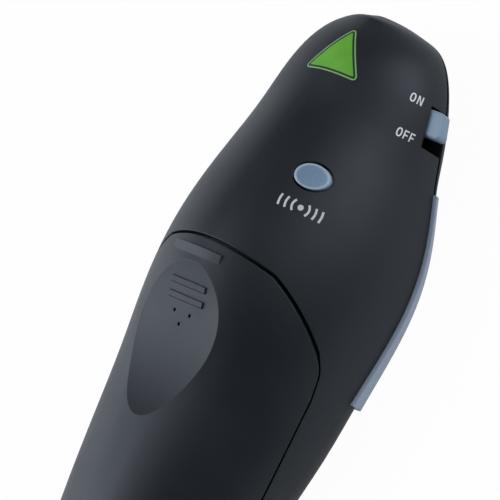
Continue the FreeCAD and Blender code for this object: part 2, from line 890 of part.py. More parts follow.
def front_shell():
    bezel_zone = slab(size("bezel_start"), size("bezel_end"), WIDE, -size("overrun"), TOP)
    solid = front_solid.cut(front_hollow).cut(bezel_zone.cut(whole_loft(size("bezel_wall"))))
    solid = solid.fuse(front_bosses() + receiver_guides())
    solid = solid.cut(laser_bores).cut(receiver_mouth).cut(pilot_holes())
    solid = solid.cut(key_holes(size("key_gap"), size("key_round") + size("key_gap"),
                                -size("overrun"), size("front_wall") * 2))
    flange_room = key_holes(size("key_flange") + size("key_gap"), size("key_gap"),
                            size("front_wall"), size("board_level"))
    return solid.cut(flange_room).removeSplitter()


def front_bezel():
    swollen = front_loft(size("bezel_proud"))
    zone = slab(size("bezel_start"), size("bezel_end"), WIDE, -size("overrun"), TOP)
    solid = swollen.common(zone).cut(whole_loft(size("bezel_wall")))
    holes = key_holes(size("key_gap"), size("key_round") + size("key_gap"),
                      -size("overrun"), size("front_wall") * 2)
    return solid.cut(holes).removeSplitter()


shaped("rear_casing", rear_casing())
shaped("front_shell", front_shell())
shaped("front_bezel", front_bezel())
shaped("battery_cover", battery_cover())


# Connect button: an oval whose top follows the back
def connect_button():
    x = from_nose(size("connect_place"))
    y = -size("connect_side")
    low = connect_flange_level
    stalk = oval(size("connect_half_length"), size("connect_half_width"), x, y, low, TOP)
    stalk = stalk.common(whole_loft(-size("connect_proud")))
    flange = oval(size("connect_half_length") + size("connect_flange"),
                  size("connect_half_width") + size("connect_flange"),
                  x, y, low, low + size("connect_flange_thick"))
    post = Part.makeCylinder(size("connect_post_radius"), low - connect_stem_tip,
                             Vector(x, y, connect_stem_tip))
    return stalk.fuse([flange, post]).removeSplitter()


connect_stem_tip = board_top + size("tact_height") + size("tact_stem_reach")
connect_flange_level = back_at(size("connect_place")) - size("connect_sink")
shaped("connect_button", connect_button())


# Keys: each a cap with a flange behind the front and a post that meets its switch
stem_tip = "Sizes.board_level - Sizes.tact_height - Sizes.tact_stem_reach"
for name, place_word, side, length_word, width_word in KEYS:
    body = doc.addObject("PartDesign::Body", name)
    half_length = "Sizes." + length_word + " / 2"
    half_width = "Sizes." + width_word + " / 2"
    cap_sketch = rectangle(body, name + "_cap_outline", "XY_Plane", half_length, half_width)
    cap = pad(body, name + "_cap", cap_sketch,
              "Sizes.front_wall + Sizes.key_seat - Sizes.key_recess + Sizes.key_flange_thick")
    doc.recompute()
    rounding = body.newObject("PartDesign::Fillet", name + "_corners")
    rounding.Base = (cap, parallel_edges(cap.Shape, Vector(0, 0, 1), size("key_flange_thick")))
    bind(rounding, {"Radius": "Sizes.key_round"})
    doc.recompute()
    face_ring = body.newObject("PartDesign::Fillet", name + "_edge")
    lowest = ["Edge" + str(number) for number, side_edge in enumerate(rounding.Shape.Edges, start=1)
              if side_edge.BoundBox.ZMax < size("key_edge") / 2]
    face_ring.Base = (rounding, lowest)
    bind(face_ring, {"Radius": "Sizes.key_edge"})
    flange_sketch = rectangle(body, name + "_flange_outline", "XY_Plane",
                              half_length + " + Sizes.key_flange",
                              "Sizes." + width_word + " / 2 + Sizes.key_flange")
    flange_sketch.setExpression("AttachmentOffset.Base.z",
                                "Sizes.front_wall + Sizes.key_seat - Sizes.key_recess")
    pad(body, name + "_flange", flange_sketch, "Sizes.key_flange_thick")
    post_sketch = body.newObject("Sketcher::SketchObject", name + "_post_outline")
    post_sketch.AttachmentSupport = (origin_plane(body, "XY_Plane"), [""])
    post_sketch.MapMode = "FlatFace"
    post_sketch.addGeometry(Part.Circle(Vector(), Vector(0, 0, 1), size("key_post_radius")), False)
    post_sketch.addConstraint(Sketcher.Constraint("Coincident", 0, 3, -1, 1))
    post_sketch.addConstraint(Sketcher.Constraint("Radius", 0, size("key_post_radius")))
    post_sketch.setExpression("Constraints[1]", "Sizes.key_post_radius")
    post_sketch.setExpression("AttachmentOffset.Base.z",
                                "Sizes.front_wall + Sizes.key_seat - Sizes.key_recess")
    pad(body, name + "_post", post_sketch,
        stem_tip + " - Sizes.front_wall - Sizes.key_seat")
    place(body, along("Sizes." + place_word), side, "Sizes.key_recess")
    keep(body, name)

# Tact switches: housings soldered to the board, and a stem under each key
TACTS = tuple((name, place_word, side, True) for name, place_word, side, _, _ in KEYS)
TACTS += (("connect", "connect_place", "-Sizes.connect_side", False),)
housings = []
for name, place_word, side, faces_front in TACTS:
    middle = along("Sizes." + place_word)
    low = ("Sizes.board_level - Sizes.tact_height" if faces_front
           else "Sizes.board_level + Sizes.board_thick")
    case = box(name + "_switch_case", "Sizes.tact_size", "Sizes.tact_size", "Sizes.tact_height",
               middle + " - Sizes.tact_size / 2", side + " - Sizes.tact_size / 2", low)
    well_low = (low if faces_front else
                low + " + Sizes.tact_height - Sizes.tact_bore_depth")
    well = rod(name + "_switch_well", "Sizes.tact_stem_radius + Sizes.tact_bore_gap",
               "Sizes.tact_bore_depth", middle, side, well_low)
    housings.append(cut(name + "_switch_housing", case, well))
    stem_low = (stem_tip if faces_front else
                low + " + Sizes.tact_height - Sizes.tact_bore_depth + Sizes.connect_travel"
                + " + Sizes.tact_bore_gap")
    stem = rod(name + "_stem", "Sizes.tact_stem_radius",
               "Sizes.tact_stem_reach + Sizes.tact_bore_depth - Sizes.key_travel"
               " - Sizes.tact_bore_gap",
               middle, side, stem_low)
    keep(stem, name.replace("_key", "") + "_switch_stem")
group = doc.addObject("Part::Compound", "tact_switches")
group.Links = housings
keep(group, "tact_switch_housings")

# Circuit board, notched at the nose round the laser module
board = doc.addObject("PartDesign::Body", "main_board")
board_corners = []
for edge_place, edge_half in (
        ("board_start", "board_notch_half"), ("board_start", "board_nose_half"),
        ("board_shoulder_place", "board_shoulder_half"), ("board_full_place", "board_half_width"),
        ("board_end", "board_half_width")):
    board_corners.append(("-Sizes." + edge_place, "Sizes." + edge_half))
mirrored = [(first, "-" + second) for first, second in reversed(board_corners)]
notch = [("-Sizes.board_notch_end", "-Sizes.board_notch_half"),
         ("-Sizes.board_notch_end", "Sizes.board_notch_half")]
board_sketch = outline(board, "board_outline", "XY_Plane", board_corners + mirrored + notch)
pad(board, "board_blank", board_sketch, "Sizes.board_thick")
doc.recompute()
hole_sketch = board.newObject("Sketcher::SketchObject", "board_screw_holes")
hole_sketch.AttachmentSupport = (origin_plane(board, "XY_Plane"), [""])
hole_sketch.MapMode = "FlatFace"
hole_formulas = [
    ("-(Sizes.board_full_place - Sizes.board_screw_inset)", "Sizes.board_screw_half"),
    ("-(Sizes.board_full_place - Sizes.board_screw_inset)", "-Sizes.board_screw_half"),
    ("-(Sizes.board_end - Sizes.board_screw_inset)", "Sizes.board_screw_half"),
    ("-(Sizes.board_end - Sizes.board_screw_inset)", "-Sizes.board_screw_half"),
]
for number, (first, second) in enumerate(hole_formulas):
    row_sign = -1 if second.startswith("-") else 1
    column = 1 + number // 2
    hole_sketch.addGeometry(Part.Circle(
        Vector(-column * size("screw_length"), row_sign * size("screw_length"), 0),
        Vector(0, 0, 1), size("screw_radius")), False)
    for kind, formula, spot in (("DistanceX", first, -column * size("screw_length")),
                                ("DistanceY", second, row_sign * size("screw_length"))):
        index = hole_sketch.addConstraint(
            Sketcher.Constraint(kind, -1, 1, number, 3, spot))
        hole_sketch.setExpression("Constraints[" + str(index) + "]", formula)
    index = hole_sketch.addConstraint(
        Sketcher.Constraint("Radius", number, size("screw_radius")))
    hole_sketch.setExpression("Constraints[" + str(index) + "]", "Sizes.screw_radius")
holes = board.newObject("PartDesign::Pocket", "board_holes")
holes.Profile = hole_sketch
holes.Midplane = True
bind(holes, {"Length": "4 * Sizes.board_thick"})
place(board, "Sizes.body_length / 2", "0", "Sizes.board_level")
keep(board, "main_board")

board_face = "Sizes.board_level + Sizes.board_thick"
keep(box("radio_chip", "Sizes.chip_size", "Sizes.chip_size", "Sizes.chip_thick",
         along("Sizes.chip_place + Sizes.chip_size / 2"), "-Sizes.chip_size / 2", board_face),
     "radio_chip")
keep(box("crystal", "Sizes.crystal_width", "Sizes.crystal_length", "Sizes.crystal_height",
         along("Sizes.crystal_place + Sizes.crystal_width / 2"), "-Sizes.crystal_length / 2",
         board_face), "crystal_can")

# Power switch: a slide switch on the board, its actuator and the knob in the casing's slot
slide_middle = along("Sizes.knob_place + Sizes.switch_travel / 2")
actuator_level = "(Sizes.knob_low + Sizes.knob_high - Sizes.actuator_height) / 2"
slide_case = box("slide_case", "Sizes.slide_body_length", "Sizes.slide_body_depth",
                 "Sizes.slide_body_height",
                 slide_middle + " - Sizes.slide_body_length / 2", "-Sizes.slide_body_side",
                 board_face)
slide_window = box(
    "slide_window",
    "Sizes.actuator_width + Sizes.switch_travel + 2 * Sizes.slide_gap",
    "Sizes.actuator_inside + Sizes.slide_gap + Sizes.overrun",
    "Sizes.actuator_height + 2 * Sizes.tact_bore_gap",
    along("Sizes.knob_place + Sizes.actuator_width / 2 + Sizes.switch_travel + Sizes.slide_gap"),
    "-Sizes.slide_body_side - Sizes.overrun", actuator_level + " - Sizes.tact_bore_gap")
keep(cut("slide_switch", slide_case, slide_window), "slide_switch_housing")
keep(box("actuator", "Sizes.actuator_width",
         "(Sizes.slide_body_side + Sizes.knob_reach - Sizes.knob_depth) / 2"
         " - Sizes.slide_body_side + Sizes.actuator_inside",
         "Sizes.actuator_height",
         along("Sizes.knob_place + Sizes.actuator_width / 2"),
         "-(Sizes.slide_body_side + Sizes.knob_reach - Sizes.knob_depth) / 2", actuator_level),
     "switch_actuator")

knob = doc.addObject("PartDesign::Body", "power_knob")
knob_sketch = outline(knob, "knob_outline", "XY_Plane", [
    ("0", "-Sizes.knob_reach - Sizes.knob_slant"),
    ("Sizes.knob_length", "-Sizes.knob_reach + Sizes.knob_slant"),
    ("Sizes.knob_length", "-Sizes.knob_reach + Sizes.knob_depth"),
    ("0", "-Sizes.knob_reach + Sizes.knob_depth"),
])
knob_sketch.setExpression("AttachmentOffset.Base.z", "Sizes.knob_low")
knob_pad = pad(knob, "knob_block", knob_sketch, "Sizes.knob_high - Sizes.knob_low")
doc.recompute()


def outer_edges(shape, least_rise, most_rise):
    """The names of a knob's edges on its outer face whose rise lies between two lengths."""
    face_y = -size("knob_reach") + size("knob_slant") + size("knob_round") / 2
    return ["Edge" + str(number) for number, side_edge in enumerate(shape.Edges, start=1)
            if side_edge.BoundBox.YMax < face_y
            and least_rise < side_edge.BoundBox.ZLength < most_rise]


knob_corners = knob.newObject("PartDesign::Fillet", "knob_corners")
knob_corners.Base = (knob_pad, outer_edges(
    knob_pad.Shape, size("knob_round"), size("knob_high")))
bind(knob_corners, {"Radius": "Sizes.knob_corner"})
doc.recompute()
knob_rounding = knob.newObject("PartDesign::Fillet", "knob_rounding")
knob_rounding.Base = (knob_corners, outer_edges(
    knob_corners.Shape, -size("knob_round"), size("knob_round")))
bind(knob_rounding, {"Radius": "Sizes.knob_round"})
stem_sketch = outline(knob, "knob_stem_outline", "YZ_Plane", [
    ("-Sizes.knob_reach + Sizes.knob_depth / 2",
     "(Sizes.knob_low + Sizes.knob_high - Sizes.knob_stem_height) / 2"),
    ("-(Sizes.slide_body_side + Sizes.knob_reach - Sizes.knob_depth) / 2",
     "(Sizes.knob_low + Sizes.knob_high - Sizes.knob_stem_height) / 2"),
    ("-(Sizes.slide_body_side + Sizes.knob_reach - Sizes.knob_depth) / 2",
     "(Sizes.knob_low + Sizes.knob_high + Sizes.knob_stem_height) / 2"),
    ("-Sizes.knob_reach + Sizes.knob_depth / 2",
     "(Sizes.knob_low + Sizes.knob_high + Sizes.knob_stem_height) / 2"),
])
stem_sketch.setExpression("AttachmentOffset.Base.z",
                          "(Sizes.knob_length - Sizes.knob_stem_width) / 2")
pad(knob, "knob_stem", stem_sketch, "Sizes.knob_stem_width")
place(knob, along("Sizes.knob_place + Sizes.knob_length / 2"), "0", "0")
keep(knob, "power_switch_knob")


# Laser module in the nose, lying along X from the window back
def lying(name, radius, length, distance_to_rear):
    return rod(name, radius, length, along(distance_to_rear), "0", "Sizes.laser_level", lies=True)


keep(lying("window", "Sizes.window_radius", "Sizes.window_thick",
           "Sizes.window_place + Sizes.window_thick"), "laser_window")
barrel_rear = "Sizes.window_place + Sizes.window_thick + Sizes.barrel_length"
barrel_outside = lying("barrel_outside", "Sizes.barrel_radius", "Sizes.barrel_length", barrel_rear)
barrel_hole = lying("barrel_hole", "Sizes.barrel_bore", "Sizes.barrel_length - Sizes.barrel_lip",
                    barrel_rear)
barrel_mouth = lying("barrel_mouth", "Sizes.barrel_lip_bore",
                     "2 * Sizes.barrel_length", barrel_rear)
barrel_tool = fuse("barrel_tool", [barrel_hole, barrel_mouth])
keep(cut("barrel", barrel_outside, barrel_tool), "laser_barrel")
keep(lying("lens", "Sizes.barrel_bore - Sizes.lens_gap", "Sizes.lens_thick",
           "Sizes.window_place + Sizes.window_thick + Sizes.barrel_lip + Sizes.lens_thick"),
     "laser_lens")
diode_base = lying("diode_base", "Sizes.diode_radius", "Sizes.diode_thick", barrel_rear)
diode_can = lying("diode_can", "Sizes.diode_can_radius",
                  "Sizes.diode_can_length + Sizes.diode_thick", barrel_rear)
keep(fuse("diode", [diode_base, diode_can]), "laser_diode")
keep(box("driver", "Sizes.driver_length", "Sizes.driver_width", "Sizes.driver_thick",
         along(barrel_rear + " + Sizes.driver_length"), "-Sizes.driver_width / 2",
         "Sizes.laser_level - Sizes.driver_thick / 2"), "laser_driver_board")

# Battery tray: a cradle with two troughs, an end wall each way and a screwed flange
bay_formula = ("(Sizes.cell_length + Sizes.nub_length + Sizes.spring_length"
               " + 2 * Sizes.plate_thick + Sizes.cell_gap)")
tray_half = "(Sizes.cell_spread + Sizes.cell_radius + Sizes.tray_side)"
tray_low = "(Sizes.cell_level - Sizes.cell_radius - Sizes.cell_gap - Sizes.tray_floor)"
tray = doc.addObject("PartDesign::Body", "tray_cradle")
tray_side_corners = [
    (tray_half + " - Sizes.tray_chamfer", tray_low),
    (tray_half, tray_low + " + Sizes.tray_chamfer"),
    (tray_half, "Sizes.tray_top"),
]
tray_other_corners = [("-(" + first + ")", second) for first, second in reversed(tray_side_corners)]
tray_sketch = outline(tray, "tray_outline", "YZ_Plane", tray_side_corners + tray_other_corners)
pad(tray, "tray_run", tray_sketch, bay_formula)
place(tray, along("Sizes.bay_start + " + bay_formula), "0", "0")
troughs = []
for name, sign in (("left", ""), ("right", "-")):
    trough = rod(name + "_trough", "Sizes.cell_radius + Sizes.cell_gap",
                 bay_formula + " + 2 * Sizes.overrun",
                 along("Sizes.bay_start + " + bay_formula + " + Sizes.overrun"),
                 sign + "Sizes.cell_spread", "Sizes.cell_level", lies=True)
    troughs.append(trough)
cradle = cut("cradle", tray, fuse("troughs", troughs))
end_walls = []
for name, end_place in (("nose_wall_plate", "Sizes.bay_start"),
                        ("tail_wall_plate",
                         "Sizes.bay_start + " + bay_formula + " + Sizes.tray_wall")):
    wall_body = doc.addObject("PartDesign::Body", name)
    corners = [
        (tray_half + " - Sizes.tray_chamfer", tray_low),
        (tray_half, tray_low + " + Sizes.tray_chamfer"),
        (tray_half, "Sizes.tray_end_top"),
    ]
    other = [("-(" + first + ")", second) for first, second in reversed(corners)]
    wall_sketch = outline(wall_body, name + "_outline", "YZ_Plane", corners + other)
    pad(wall_body, name + "_run", wall_sketch, "Sizes.tray_wall")
    place(wall_body, along(end_place), "0", "0")
    end_walls.append(wall_body)
flange = box("tray_flange_plate", "Sizes.tray_flange", "2 * Sizes.tray_flange_half",
             "Sizes.tray_flange_thick",
             along("Sizes.bay_start + " + bay_formula + " + Sizes.tray_wall + Sizes.tray_flange"),
             "-Sizes.tray_flange_half", "Sizes.tray_flange_level")
bridge_slot = box("bridge_slot", "Sizes.plate_thick",
                  "2 * Sizes.cell_spread + Sizes.plate_size + 2 * Sizes.cell_gap",
                  "Sizes.tray_end_top", along("Sizes.bay_start + " + bay_formula),
                  "-Sizes.cell_spread - Sizes.plate_size / 2 - Sizes.cell_gap",
                  "Sizes.cell_level - Sizes.plate_size / 2")
tray_block = fuse("tray_block", [cut("slotted_cradle", cradle, bridge_slot)]
                  + end_walls + [flange])
flange_holes = []
for name, sign in (("left", ""), ("right", "-")):
    flange_holes.append(rod(
        name + "_flange_hole", "Sizes.screw_radius", "4 * Sizes.tray_flange_thick",
        along("Sizes.bay_start + " + bay_formula + " + Sizes.tray_wall + Sizes.tray_flange / 2"),
        sign + "(Sizes.tray_flange_half - Sizes.boss_radius)",
        "Sizes.tray_flange_level - Sizes.tray_flange_thick"))
keep(cut("tray", tray_block, fuse("flange_holes", flange_holes)), "battery_tray")

# Cells, one each way round, with their contacts. The left cell's button end faces the nose.
CELLS = (("left", "", False), ("right", "-", True))
for name, sign, button_to_tail in CELLS:
    spring_room = "Sizes.plate_thick + Sizes.spring_length"
    button_room = "Sizes.plate_thick"
    start = ("Sizes.bay_start + " + (spring_room if button_to_tail
                                     else button_room + " + Sizes.nub_length"))
    can = rod(name + "_can", "Sizes.cell_radius", "Sizes.cell_length",
              along(start + " + Sizes.cell_length"), sign + "Sizes.cell_spread",
              "Sizes.cell_level", lies=True)
    nub_rear = (start + " + Sizes.cell_length + Sizes.nub_length" if button_to_tail
                else "Sizes.bay_start + " + button_room + " + 2 * Sizes.nub_length")
    nub = rod(name + "_nub", "Sizes.nub_radius", "2 * Sizes.nub_length",
              along(nub_rear), sign + "Sizes.cell_spread", "Sizes.cell_level", lies=True)
    keep(fuse(name + "_cell", [can, nub]), "battery_cell_" + name)


def contact_plate(label, y_low, width, rear_place):
    plate = box(label + "_plate", "Sizes.plate_thick", width, "Sizes.plate_size",
                along(rear_place), y_low, "Sizes.cell_level - Sizes.plate_size / 2")
    return keep(plate, label)


bay_front_face = "Sizes.bay_start + Sizes.plate_thick"
bay_rear_face = "Sizes.bay_start + " + bay_formula
contact_plate("positive_contact", "Sizes.cell_spread - Sizes.plate_size / 2",
              "Sizes.plate_size", bay_front_face)
contact_plate("negative_contact", "-Sizes.cell_spread - Sizes.plate_size / 2",
              "Sizes.plate_size", bay_front_face)
contact_plate("bridge_contact", "-Sizes.cell_spread - Sizes.plate_size / 2",
              "2 * Sizes.cell_spread + Sizes.plate_size", bay_rear_face)


# Coil springs: each quarter turn is a pair of tangent arcs that follows a helix about X
def helix_point(base, heading, radius, pitch, turn):
    """A point of a helix that starts at a base and runs along X by its heading's sign."""
    angle = 2 * math.pi * turn
    return base + Vector(heading * pitch * turn, radius * math.cos(angle),
                         radius * math.sin(angle))


def helix_tangent(heading, radius, pitch, turn):
    """The unit direction of the same helix."""
    angle = 2 * math.pi * turn
    around = 2 * math.pi * radius
    return Vector(heading * pitch, -around * math.sin(angle), around * math.cos(angle)).normalize()


def arc_from(start, corner, end):
    """The arc from start to end whose end tangents meet at a corner."""
    middle = (start + end) * 0.5
    half_chord = (end - start).Length / 2
    leg = (corner - start).Length
    sine = (corner - middle).Length / leg
    sagitta = half_chord * (1 - half_chord / leg) / sine
    crown = middle + (corner - middle).normalize() * sagitta
    return Part.Arc(start, crown, end).toShape()


def coil(base, heading, radius, pitch, turns):
    """Tangent arcs along a helix, two to each quarter turn."""
    edges = []
    step = 0.25
    for number in range(round(turns / step)):
        start = helix_point(base, heading, radius, pitch, number * step)
        end = helix_point(base, heading, radius, pitch, (number + 1) * step)
        tangent_in = helix_tangent(heading, radius, pitch, number * step)
        tangent_out = helix_tangent(heading, radius, pitch, (number + 1) * step)
        span = end - start
        tangents = tangent_in + tangent_out
        square = 4 - tangents.dot(tangents)
        linear = span.dot(tangents)
        leg = (math.sqrt(linear ** 2 + square * span.dot(span)) - linear) / square
        first_corner = start + tangent_in * leg
        second_corner = end - tangent_out * leg
        joint = (first_corner + second_corner) * 0.5
        edges.append(arc_from(start, first_corner, joint))
        edges.append(arc_from(joint, second_corner, end))
    return edges


def contact_spring(plate_face, y, heading):
    """A coil from a contact plate to a cell's flat end."""
    wire = size("spring_wire")
    radius = size("spring_radius")
    pitch = (size("spring_length") - 2 * wire) / size("spring_turns")
    base = Vector(plate_face + heading * wire, y, size("cell_level"))
    path = Part.Wire(coil(base, heading, radius, pitch, size("spring_turns")))
    ring = Part.Circle(helix_point(base, heading, radius, pitch, 0),
                       helix_tangent(heading, radius, pitch, 0), wire)
    tube = path.makePipeShell([Part.Wire(ring.toShape())], True, False)
    print("spring: least gap between turns", round(pitch - 2 * wire, 3), "volume",
          round(tube.Volume, 3), "of", round(path.Length * math.pi * wire ** 2, 3))
    return tube


shaped("front_spring", contact_spring(
    from_nose(size("bay_start") + size("plate_thick")), -size("cell_spread"), -1))
shaped("rear_spring", contact_spring(
    from_nose(bay_end - size("plate_thick")), size("cell_spread"), 1))


# Screws: a shank and a slotted head each, grouped by what they hold
def screws(label, spots, seat_formula):
    """A group of equal screws whose heads sit on one level."""
    made = []
    for number, (x, y) in enumerate(spots, start=1):
        stamp = label + "_" + str(number)
        shank = rod(stamp + "_shank", "Sizes.screw_radius", "Sizes.screw_length",
                    x, y, seat_formula + " - Sizes.screw_length + Sizes.screw_head_height / 2")
        head = rod(stamp + "_head", "Sizes.screw_head_radius", "Sizes.screw_head_height",
                   x, y, seat_formula)
        slot = box(stamp + "_slot", "4 * Sizes.screw_head_radius", "Sizes.screw_slot",
                   "Sizes.screw_head_height",
                   x + " - 2 * Sizes.screw_head_radius", y + " - Sizes.screw_slot / 2",
                   seat_formula + " + Sizes.screw_head_height / 2")
        made.append(cut(stamp, fuse(stamp + "_blank", [shank, head]), slot))
    bundle = doc.addObject("Part::Compound", label)
    bundle.Links = made
    return keep(bundle, label)


board_spots = [("Sizes.body_length / 2 + " + first.replace("-(", "-1 * ("), second)
               for first, second in hole_formulas]
screws("board_screws", board_spots, board_face)
screws("case_screws", [(along("Sizes.case_screw_place"), "Sizes.case_screw_side"),
                       (along("Sizes.case_screw_place"), "-Sizes.case_screw_side")],
       "Sizes.case_ear_level + Sizes.case_ear_thick")
tray_spot = along("Sizes.bay_start + " + bay_formula + " + Sizes.tray_wall + Sizes.tray_flange / 2")
screws("tray_screws", [(tray_spot, "Sizes.tray_flange_half - Sizes.boss_radius"),
                       (tray_spot, "-Sizes.tray_flange_half + Sizes.boss_radius")],
       "Sizes.tray_flange_level + Sizes.tray_flange_thick")

# Receiver: a USB plug shell with its tongue and contacts, a small board and a housing
receiver_middle = "(Sizes.receiver_low + Sizes.receiver_height / 2)"
plug_rear = "Sizes.receiver_start + Sizes.plug_length"
plug_out = box("plug_outside", "Sizes.plug_length + Sizes.receiver_wall", "Sizes.plug_width",
               "Sizes.plug_height", along(plug_rear + " + Sizes.receiver_wall"),
               "-Sizes.plug_width / 2", receiver_middle + " - Sizes.plug_height / 2")
plug_in = box("plug_inside", "Sizes.plug_length + Sizes.receiver_wall + 2 * Sizes.overrun",
              "Sizes.plug_width - 2 * Sizes.plug_wall", "Sizes.plug_height - 2 * Sizes.plug_wall",
              along(plug_rear + " + Sizes.receiver_wall + Sizes.overrun"),
              "-Sizes.plug_width / 2 + Sizes.plug_wall",
              receiver_middle + " - Sizes.plug_height / 2 + Sizes.plug_wall")
keep(cut("plug", plug_out, plug_in), "receiver_plug_shell")
tongue_low = receiver_middle + " - Sizes.plug_height / 2 + Sizes.plug_wall"
keep(box("tongue", "Sizes.plug_length - Sizes.tongue_short + Sizes.receiver_wall",
         "Sizes.tongue_width", "Sizes.tongue_thick",
         along(plug_rear + " + Sizes.receiver_wall"), "-Sizes.tongue_width / 2", tongue_low),
     "receiver_tongue")
strips = []
for number in range(4):
    middle = "(" + str(number) + " - 3 / 2) * Sizes.contact_pitch"
    strips.append(box("contact_strip_" + str(number + 1),
                      "Sizes.plug_length - Sizes.tongue_short", "Sizes.contact_width",
                      "Sizes.contact_thick", along(plug_rear),
                      middle + " - Sizes.contact_width / 2",
                      tongue_low + " + Sizes.tongue_thick"))
strip_group = doc.addObject("Part::Compound", "receiver_contact_strips")
strip_group.Links = strips
keep(strip_group, "receiver_contacts")
keep(box("receiver_board", "Sizes.body_length - Sizes.receiver_start"
         " - Sizes.plug_length - 3 * Sizes.receiver_wall",
         "Sizes.tongue_width", "Sizes.driver_thick",
         along("Sizes.body_length - 3 / 2 * Sizes.receiver_wall"),
         "-Sizes.tongue_width / 2", tongue_low), "receiver_board")


def receiver_housing():
    start = size("receiver_start") + size("plug_length")
    length = receiver_end - start
    solid = lying_block(length, size("receiver_width"), size("receiver_height"),
                        size("receiver_round"),
                        Vector(from_nose(receiver_end), -receiver_half, size("receiver_low")))
    wall = size("receiver_wall")
    inside = Part.makeBox(length - 2 * wall, size("receiver_width") - 2 * wall,
                          size("plug_height"),
                          Vector(from_nose(receiver_end - wall), wall - receiver_half,
                                 size("receiver_low") + size("receiver_height") / 2
                                 - size("plug_height") / 2))
    mouth = Part.makeBox(size("overrun"), size("plug_width"), size("plug_height"),
                         Vector(from_nose(start + 2 * wall), -size("plug_width") / 2,
                                size("receiver_low") + size("receiver_height") / 2
                                - size("plug_height") / 2))
    return solid.cut(inside).cut(mouth)


shaped("receiver_housing", receiver_housing())

# Check every object, then write each sub-part to its own file
doc.recompute()
failed = [item.Name for item in doc.Objects
          if "Invalid" in item.State or "Error" in item.State]
if failed:
    raise RuntimeError("objects that failed: " + ", ".join(failed))
os.makedirs("parts", exist_ok=True)
for sub_part in sub_parts:
    shape = sub_part.Shape
    if shape.isNull() or not shape.isValid() or not shape.Solids:
        raise RuntimeError("bad shape: " + sub_part.Label)
    print(sub_part.Label, "solids", len(shape.Solids), "volume", round(shape.Volume, 2))
    shape.exportStep("parts/" + sub_part.Label + ".step")
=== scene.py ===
"""A hand-held presentation clicker lying face down on a pale floor, seen from above its back."""
import math

import bpy
from mathutils import Matrix, Vector
from mathutils.bvhtree import BVHTree
from mathutils.geometry import tessellate_polygon


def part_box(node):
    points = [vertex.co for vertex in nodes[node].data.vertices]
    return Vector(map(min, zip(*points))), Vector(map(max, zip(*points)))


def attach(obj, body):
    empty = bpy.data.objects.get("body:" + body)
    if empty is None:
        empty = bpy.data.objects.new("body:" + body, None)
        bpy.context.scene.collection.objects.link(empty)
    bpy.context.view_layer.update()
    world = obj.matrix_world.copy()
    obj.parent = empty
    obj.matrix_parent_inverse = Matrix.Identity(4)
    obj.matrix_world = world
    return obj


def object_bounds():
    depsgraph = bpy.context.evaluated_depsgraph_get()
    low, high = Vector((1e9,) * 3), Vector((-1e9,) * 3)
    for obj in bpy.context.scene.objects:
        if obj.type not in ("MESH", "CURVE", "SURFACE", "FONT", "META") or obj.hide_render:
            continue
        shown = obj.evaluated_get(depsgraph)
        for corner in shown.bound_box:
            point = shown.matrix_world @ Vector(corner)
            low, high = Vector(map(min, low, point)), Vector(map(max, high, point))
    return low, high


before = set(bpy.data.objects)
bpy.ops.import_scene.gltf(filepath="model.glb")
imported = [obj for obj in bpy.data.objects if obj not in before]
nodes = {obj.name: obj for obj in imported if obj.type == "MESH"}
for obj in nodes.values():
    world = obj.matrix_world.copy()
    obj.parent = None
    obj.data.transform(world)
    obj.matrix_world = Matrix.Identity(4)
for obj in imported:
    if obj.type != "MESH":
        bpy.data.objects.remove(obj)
cad_box = [list(corner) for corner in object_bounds()]
scene = bpy.context.scene
scene.view_settings.view_transform = "Standard"
MM = 0.001
NOSE = cad_box[1][0]
# Width of the hidden rim that holds an oval key under the casing
FLANGE = 0.8 * MM
# Depth of the moulded grain, and how far it and the clouding pale a plastic
GRAIN_DEPTH = 0.006 * MM
CLOUDING = 0.12
# The turn of the normal, as one less its cosine, at which an edge is worn most
EDGE_TURN = 0.12


# Shader maths
class Wire:
    """A node's output that can be used in plain sums."""

    def __init__(self, finish, socket):
        self.finish = finish
        self.socket = socket

    def maths(self, operation, first, second):
        return self.finish.node("ShaderNodeMath", {"operation": operation}, {0: first, 1: second})

    def __add__(self, other):
        return self.maths("ADD", self, other)

    def __radd__(self, other):
        return self.maths("ADD", other, self)

    def __sub__(self, other):
        return self.maths("SUBTRACT", self, other)

    def __rsub__(self, other):
        return self.maths("SUBTRACT", other, self)

    def __mul__(self, other):
        return self.maths("MULTIPLY", self, other)

    def __rmul__(self, other):
        return self.maths("MULTIPLY", other, self)

    def __lt__(self, other):
        return self.maths("LESS_THAN", self, other)

    def __gt__(self, other):
        return self.maths("GREATER_THAN", self, other)


